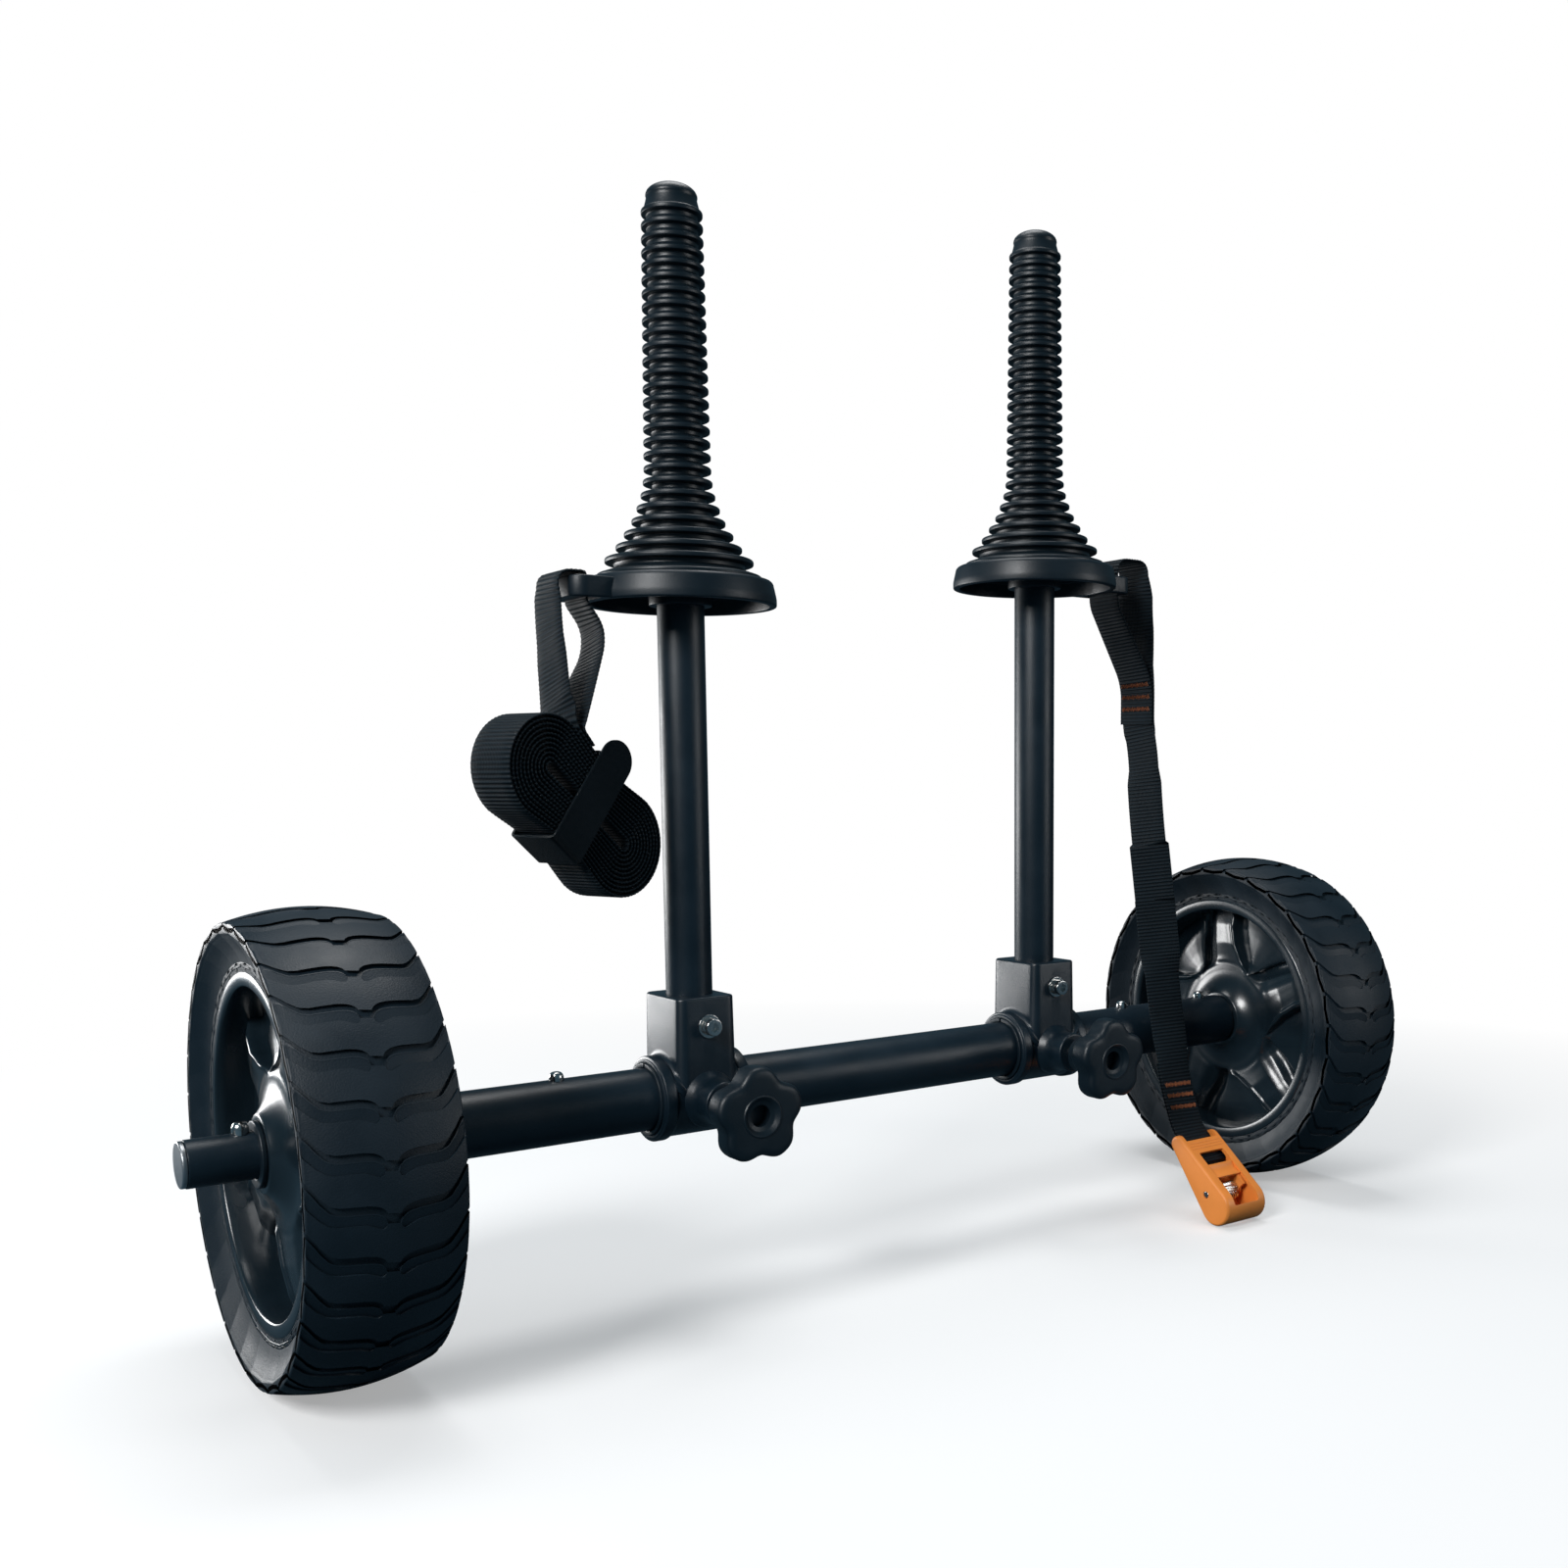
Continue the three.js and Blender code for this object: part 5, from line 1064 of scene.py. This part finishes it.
def right_bars(line):
    """Where the bars go: on the outer sides of both layers of each seam."""
    heights = [at.z for at, _ in line]
    lowest = heights.index(min(heights))
    places = []
    for drop in UPPER_BARS:
        height = PLATE_Z["right"] - drop
        rising = next(i for i, z in enumerate(heights) if z >= height)
        falling = max(i for i in range(lowest) if heights[i] >= height)
        places += [(rising, -1), (falling, -1)]
    for drop in LOWER_BARS:
        height = PLATE_Z["right"] - drop
        places.append((max(i for i in range(lowest) if heights[i] >= height), 1))
        places.append((next(i for i in range(lowest, len(line)) if heights[i] >= height), 1))
    return places


# The roll's tie, in its own frame: x across the roll, y out of its flat side, z along it

TIE_WIDTH, TIE_GAUGE, TIE_CLEARANCE, TIE_TAB_RISE = 24, 1.6, 0.6, 14


def tie():
    upper, across, along, outward, span = roll_frame()
    half_up = ROLL_OUTER * lerp(WAIST, 1, TIE_WIDTH / span) + WEB_GAUGE / 2 + TIE_CLEARANCE
    half_across = WEB_WIDTH / 2 + TIE_CLEARANCE
    inside = rectangle(2 * half_across, 2 * half_up, 2, 6)
    outside = rectangle(2 * (half_across + TIE_GAUGE), 2 * (half_up + TIE_GAUGE), 3.6, 6)
    edges = ((outside, -0.5), (outside, 0.5), (inside, 0.5), (inside, -0.5))
    rows = [[(x, y, z * TIE_WIDTH) for x, y in outline] for outline, z in edges]
    ring = skin(rows, close_rows=True, weld=0)
    half = TIE_WIDTH / 2
    middle = half_up + TIE_GAUGE + TIE_TAB_RISE - half
    arc = [(half * cos(a), middle + half * sin(a)) for a in np.linspace(pi, 0, 21)]
    tab = prism([(-half, 0), *arc, (half, 0)], -TIE_GAUGE / 2, TIE_GAUGE / 2)
    combine(ring, moved(turned(tab, 90, "Y"), x=half_across + TIE_GAUGE / 2))
    made = bevel(ring, 0.4, 3, 40)
    weave_map(made, [(v.co.z * METRES, (v.co.x + v.co.y) * METRES) for v in made.data.vertices])
    matrix = Matrix((across, outward, across.cross(outward))).transposed().to_4x4()
    matrix.translation = upper + along * (span / 2)
    length = 4 * (half_across + half_up) + half_up + TIE_TAB_RISE
    return made, matrix, length


def add_straps():
    left_at, right_at = (-POST_X, 0, AXLE_Z), (POST_X, 0, AXLE_Z)
    step = WEB_RIB / 5
    line, length = even_line(left_line(), step)
    left, flat = band(line, length), (WEB_WIDTH * METRES, length * METRES)
    place(left, "strap_look_left", "clamp_left", "webbing", "strap_left", left_at, smooth=70)
    made, matrix, length = tie()
    flat = (TIE_WIDTH * METRES, length * METRES)
    name, node = "strap_tie_look", "strap_tie_left"
    place(made, name, "clamp_left", "webbing", node, left_at, matrix, 50, TIE_LOOK)
    line, length = even_line(right_line(), step)
    bars = stitch_bars(line, right_bars(line))
    right, flat = band(line, length), (WEB_WIDTH * METRES, length * METRES)
    place(right, "strap_look_right", "clamp_right", "webbing", "strap_right", right_at, smooth=70)
    place(bars, "strap_stitches", "clamp_right", "webbing", None, right_at, None, 60, THREAD_LOOK)


# Buckle, in its own frame: x across, y back up the strap, z out of its front

BUCKLE_HALF, BUCKLE_INSIDE = 20, 16
# Openings: half their width, and where they start and end, down and out
WINDOW, MOUTH = (12.5, (20, 0), (67, 16)), (15.6, (-2, -2.25), (8.2, 10))
TAIL_SLIT = (16, (60, -7.8), (76, -4.2))
TOP_RADIUS, END_RADIUS, END_AT = 6, 13.5, 60
SHELL = 2.6
PIN_AT, PIN_DROP, PIN_HOLE, PIN_HALF, PIN_RADIUS = 49, 0.5, 2.5, 19.7, 2.2
CAM_HALF, CAM_RADIUS, CAM_FALL, CAM_TEETH, CAM_TOOTH = 9.2, 7.6, 1.1, 14, 1.3
NOTCH_HALF, NOTCH_RADII = 0.4, (4.9, 9)
LEVER_START, LEVER_END, LEVER_HALF, LEVER_LUG, LEVER_HUB = 31, 43, 12.2, 2.5, 4.2
BAR_RIDGES = (11.2, 13.6, 16.0)


def tear(top_radius, end_radius, steps=24):
    """Outline of the buckle from the side: a small round end that widens to a large one."""
    lean = asin((end_radius - top_radius) / (END_AT - TOP_RADIUS))
    outline = []
    for angle in np.linspace(pi / 2 + lean, 1.5 * pi - lean, steps):
        outline.append((TOP_RADIUS + top_radius * cos(angle), top_radius * sin(angle)))
    for angle in np.linspace(-pi / 2 - lean, pi / 2 + lean, steps):
        outline.append((END_AT + end_radius * cos(angle), end_radius * sin(angle)))
    return outline


def across_buckle(outline, half, centre=0.0):
    """A side outline of places down and out, raised across the buckle."""
    points = [(x, -down, out) for x in (centre - half, centre + half) for down, out in outline]
    return piece(points, ends(len(outline), 2) + quads(2, len(outline)))


def buckle_box(half, start, end):
    (down_from, out_from), (down_to, out_to) = start, end
    return block((-half, -down_to, out_from), (half, -down_from, out_to))


def across_rod(half, radius, down, out, centre=0.0):
    return moved(rod(centre - half, centre + half, radius, "x", segments=40), y=-down, z=out)


def front_at(down):
    rise = (END_RADIUS - TOP_RADIUS) / (END_AT - TOP_RADIUS)
    return (TOP_RADIUS + (down - TOP_RADIUS) * rise) / sqrt(1 - rise * rise)


def pin_hole():
    return across_rod(BUCKLE_HALF + OVERRUN, PIN_HOLE, PIN_AT, -PIN_DROP)


def buckle_frame():
    body = bevel(across_buckle(tear(TOP_RADIUS, END_RADIUS), BUCKLE_HALF), 2.2, 5, 40)
    ridges = [across_rod(BUCKLE_INSIDE, 0.6, down, front_at(down) - 0.25) for down in BAR_RIDGES]
    combine(body, *ridges)
    inside = across_buckle(tear(TOP_RADIUS - SHELL, END_RADIUS - SHELL), BUCKLE_INSIDE)
    window = bevel(buckle_box(*WINDOW), 1.5, 4, 80)
    cut(body, inside, window, buckle_box(*MOUTH), buckle_box(*TAIL_SLIT))
    combine(body, across_rod(BUCKLE_HALF - 1, BAR_RADIUS, BAR_AT, 0))
    return cut(body, pin_hole())


def buckle_lever():
    """A dished thumb plate on two lugs that turn on the pin."""
    under = [(down, front_at(down) - 3.0) for down in (LEVER_START, LEVER_END)]
    upper = []
    for share in np.linspace(1, 0, 15):
        down = lerp(LEVER_START, LEVER_END, share)
        dish = 1.5 * max(0, sin(pi * min(1, max(0, (share - 0.12) / 0.8)))) ** 0.8
        upper.append((down, front_at(down) - 0.5 - dish))
    body = bevel(across_buckle(under + upper, LEVER_HALF), 0.4, 3, 50)
    for side in (-1, 1):
        middle = side * (LEVER_HALF - LEVER_LUG / 2)
        hub = across_rod(LEVER_LUG / 2, LEVER_HUB, PIN_AT, -PIN_DROP, middle)
        low = (middle - LEVER_LUG / 2, -PIN_AT - 2.2, 0)
        high = (middle + LEVER_LUG / 2, 4 - LEVER_END, front_at(LEVER_END - 4) - 1.8)
        combine(body, hub, block(low, high))
    return cut(body, pin_hole())


def buckle_cam():
    outline = []
    for i in range(2 * CAM_TEETH):
        angle = pi * i / CAM_TEETH
        radius = CAM_RADIUS - CAM_FALL * (1 + sin(angle)) - (i % 2) * CAM_TOOTH
        outline.append((PIN_AT + radius * cos(angle), radius * sin(angle) - PIN_DROP))
    body = across_buckle(outline, CAM_HALF)
    for x in np.linspace(-7, 7, 8):
        notch = pipe(x - NOTCH_HALF, x + NOTCH_HALF, *NOTCH_RADII, edge=0.05, segments=32)
        cut(body, moved(notch, y=-PIN_AT, z=-PIN_DROP))
    return cut(body, pin_hole())


def add_buckle():
    at = (POST_X, 0, AXLE_Z)
    matrix = Matrix.Translation(buckle_place(0, 0)) @ Matrix.Rotation(BUCKLE_TILT, 4, "X")
    place(buckle_frame(), "buckle_body_look", "clamp_right", "orange_body", "buckle_frame", at, matrix)
    place(buckle_lever(), "buckle_lever_look", "lever", "orange_body", "buckle_lever", at, matrix)
    place(buckle_cam(), "buckle_cam_look", "lever", "bright_steel", "buckle_cam", at, matrix, smooth=20)
    pin = rod(-PIN_HALF, PIN_HALF, PIN_RADIUS, edge=0.3, segments=32)
    moved(pin, y=-PIN_AT, z=-PIN_DROP)
    place(pin, "buckle_pin_look", "clamp_right", "bright_steel", "buckle_pin", at, matrix)


def finish_plain_nodes():
    """Springs, studs, pads and inner tubes keep the CAD's own meshes."""
    for name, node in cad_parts.items():
        if node.hide_render:
            continue
        dress(node.data, LOOKS["bare_aluminium" if "core" in name else "bright_steel"], 30)


# Studio

CAMERA_AT, CAMERA_TURNS = (-0.5794, -0.8442, 0.32096), (-0.6566, -0.1081, -0.0035)
FLOOR_HALF = 9
FLOOR_SEEN, FLOOR_UNSEEN = (0.95, 0.95, 0.95, 1), (0.05, 0.09, 0.12, 1)
FLOOR_FADE, FLOOR_GLOW = (0.4, 1.2), 0.35


def add_camera():
    yaw, pitch, roll = CAMERA_TURNS
    ahead = Vector((-sin(yaw), cos(yaw), 0))
    forward = ahead * cos(pitch) + Vector((0, 0, sin(pitch)))
    level = Vector((cos(yaw), sin(yaw), 0))
    upright = level.cross(forward)
    right = level * cos(roll) + upright * sin(roll)
    up = upright * cos(roll) - level * sin(roll)
    camera = add_object("camera", bpy.data.cameras.new("camera"))
    axes = Matrix((right, up, -forward)).transposed().to_4x4()
    camera.matrix_world = Matrix.Translation(CAMERA_AT) @ axes
    camera.data.lens = 35.57
    camera.data.sensor_width = 36
    camera.data.shift_x = -0.1124
    camera.data.shift_y = 0.1014
    camera.data.clip_start = 0.02
    scene.camera = camera


def add_world(seen, lights):
    """White where the camera sees it, and a dim blue-grey as light."""
    world = bpy.data.worlds.new("studio")
    world.use_nodes = True
    scene.world = world
    tree = world.node_tree
    tree.nodes.clear()
    path = tree.nodes.new("ShaderNodeLightPath")
    plain = wire(tree, "ShaderNodeBackground", Color=(1, 1, 1, 1), Strength=seen)
    dim = wire(tree, "ShaderNodeBackground", Color=(0.36, 0.74, 1, 1), Strength=lights)
    camera_ray = path.outputs["Is Camera Ray"]
    choose = wire(tree, "ShaderNodeMixShader", n0=camera_ray, n1=dim.outputs[0], n2=plain.outputs[0])
    wire(tree, "ShaderNodeOutputWorld", Surface=choose.outputs[0])


def floor_material():
    """Pale where the camera sees it, fading to white, and dark in the object's reflections."""
    made = bpy.data.materials.new("floor")
    made.use_nodes = True
    tree = made.node_tree
    tree.nodes.clear()
    camera_ray = tree.nodes.new("ShaderNodeLightPath").outputs["Is Camera Ray"]
    colour = colour_mix(tree, camera_ray, FLOOR_UNSEEN, FLOOR_SEEN)
    diffuse = wire(tree, "ShaderNodeBsdfDiffuse", Color=colour)
    white = wire(tree, "ShaderNodeEmission", Color=(1, 1, 1, 1), Strength=1.0)
    position = tree.nodes.new("ShaderNodeNewGeometry").outputs["Position"]
    far = wire(tree, "ShaderNodeVectorMath", (("operation", "LENGTH"),), n0=position)
    fade = grey_range(tree, far.outputs["Value"], FLOOR_GLOW, 1, *FLOOR_FADE)
    seen = maths(tree, "MULTIPLY", fade, camera_ray)
    mixed = wire(tree, "ShaderNodeMixShader", n0=seen, n1=diffuse.outputs[0], n2=white.outputs[0])
    wire(tree, "ShaderNodeOutputMaterial", Surface=mixed.outputs[0])
    return made


def add_floor():
    mesh = bpy.data.meshes.new("floor")
    corners = [(x * FLOOR_HALF, y * FLOOR_HALF, 0) for x, y in ((-1, -1), (1, -1), (1, 1), (-1, 1))]
    mesh.from_pydata(corners, [], [(0, 1, 2, 3)])
    mesh.materials.append(floor_material())
    add_object("floor", mesh)


def softbox(name, at, towards, size, power):
    light = bpy.data.lights.new(name, "AREA")
    light.shape = "RECTANGLE"
    light.size, light.size_y = size
    light.energy = power
    lamp = add_object(name, light)
    lamp.visible_camera = False
    lamp.location = at
    lamp.rotation_mode = "QUATERNION"
    lamp.rotation_quaternion = (Vector(towards) - Vector(at)).to_track_quat("-Z", "Y")


add_axle()
for name, side in SIDES.items():
    add_wheel(name, side)
    add_clamp(name, side)
    add_post(name, side)
add_straps()
add_buckle()
finish_plain_nodes()
add_camera()
add_world(1.0, 0.13)
add_floor()
softbox("key", (-2.0, -0.8, 1.5), (0, 0, 0.25), (0.8, 0.8), 50)
softbox("back", (-0.95, 2.0, 0.28), (-0.42, 0, 0.13), (1.0, 0.5), 24)
softbox("top", (0.1, 0.4, 2.2), (0, 0, 0.3), (1.4, 0.9), 24)
softbox("fill", (1.6, -1.7, 0.8), (0, 0, 0.3), (0.7, 1.0), 9)

scene.view_settings.view_transform = "Standard"
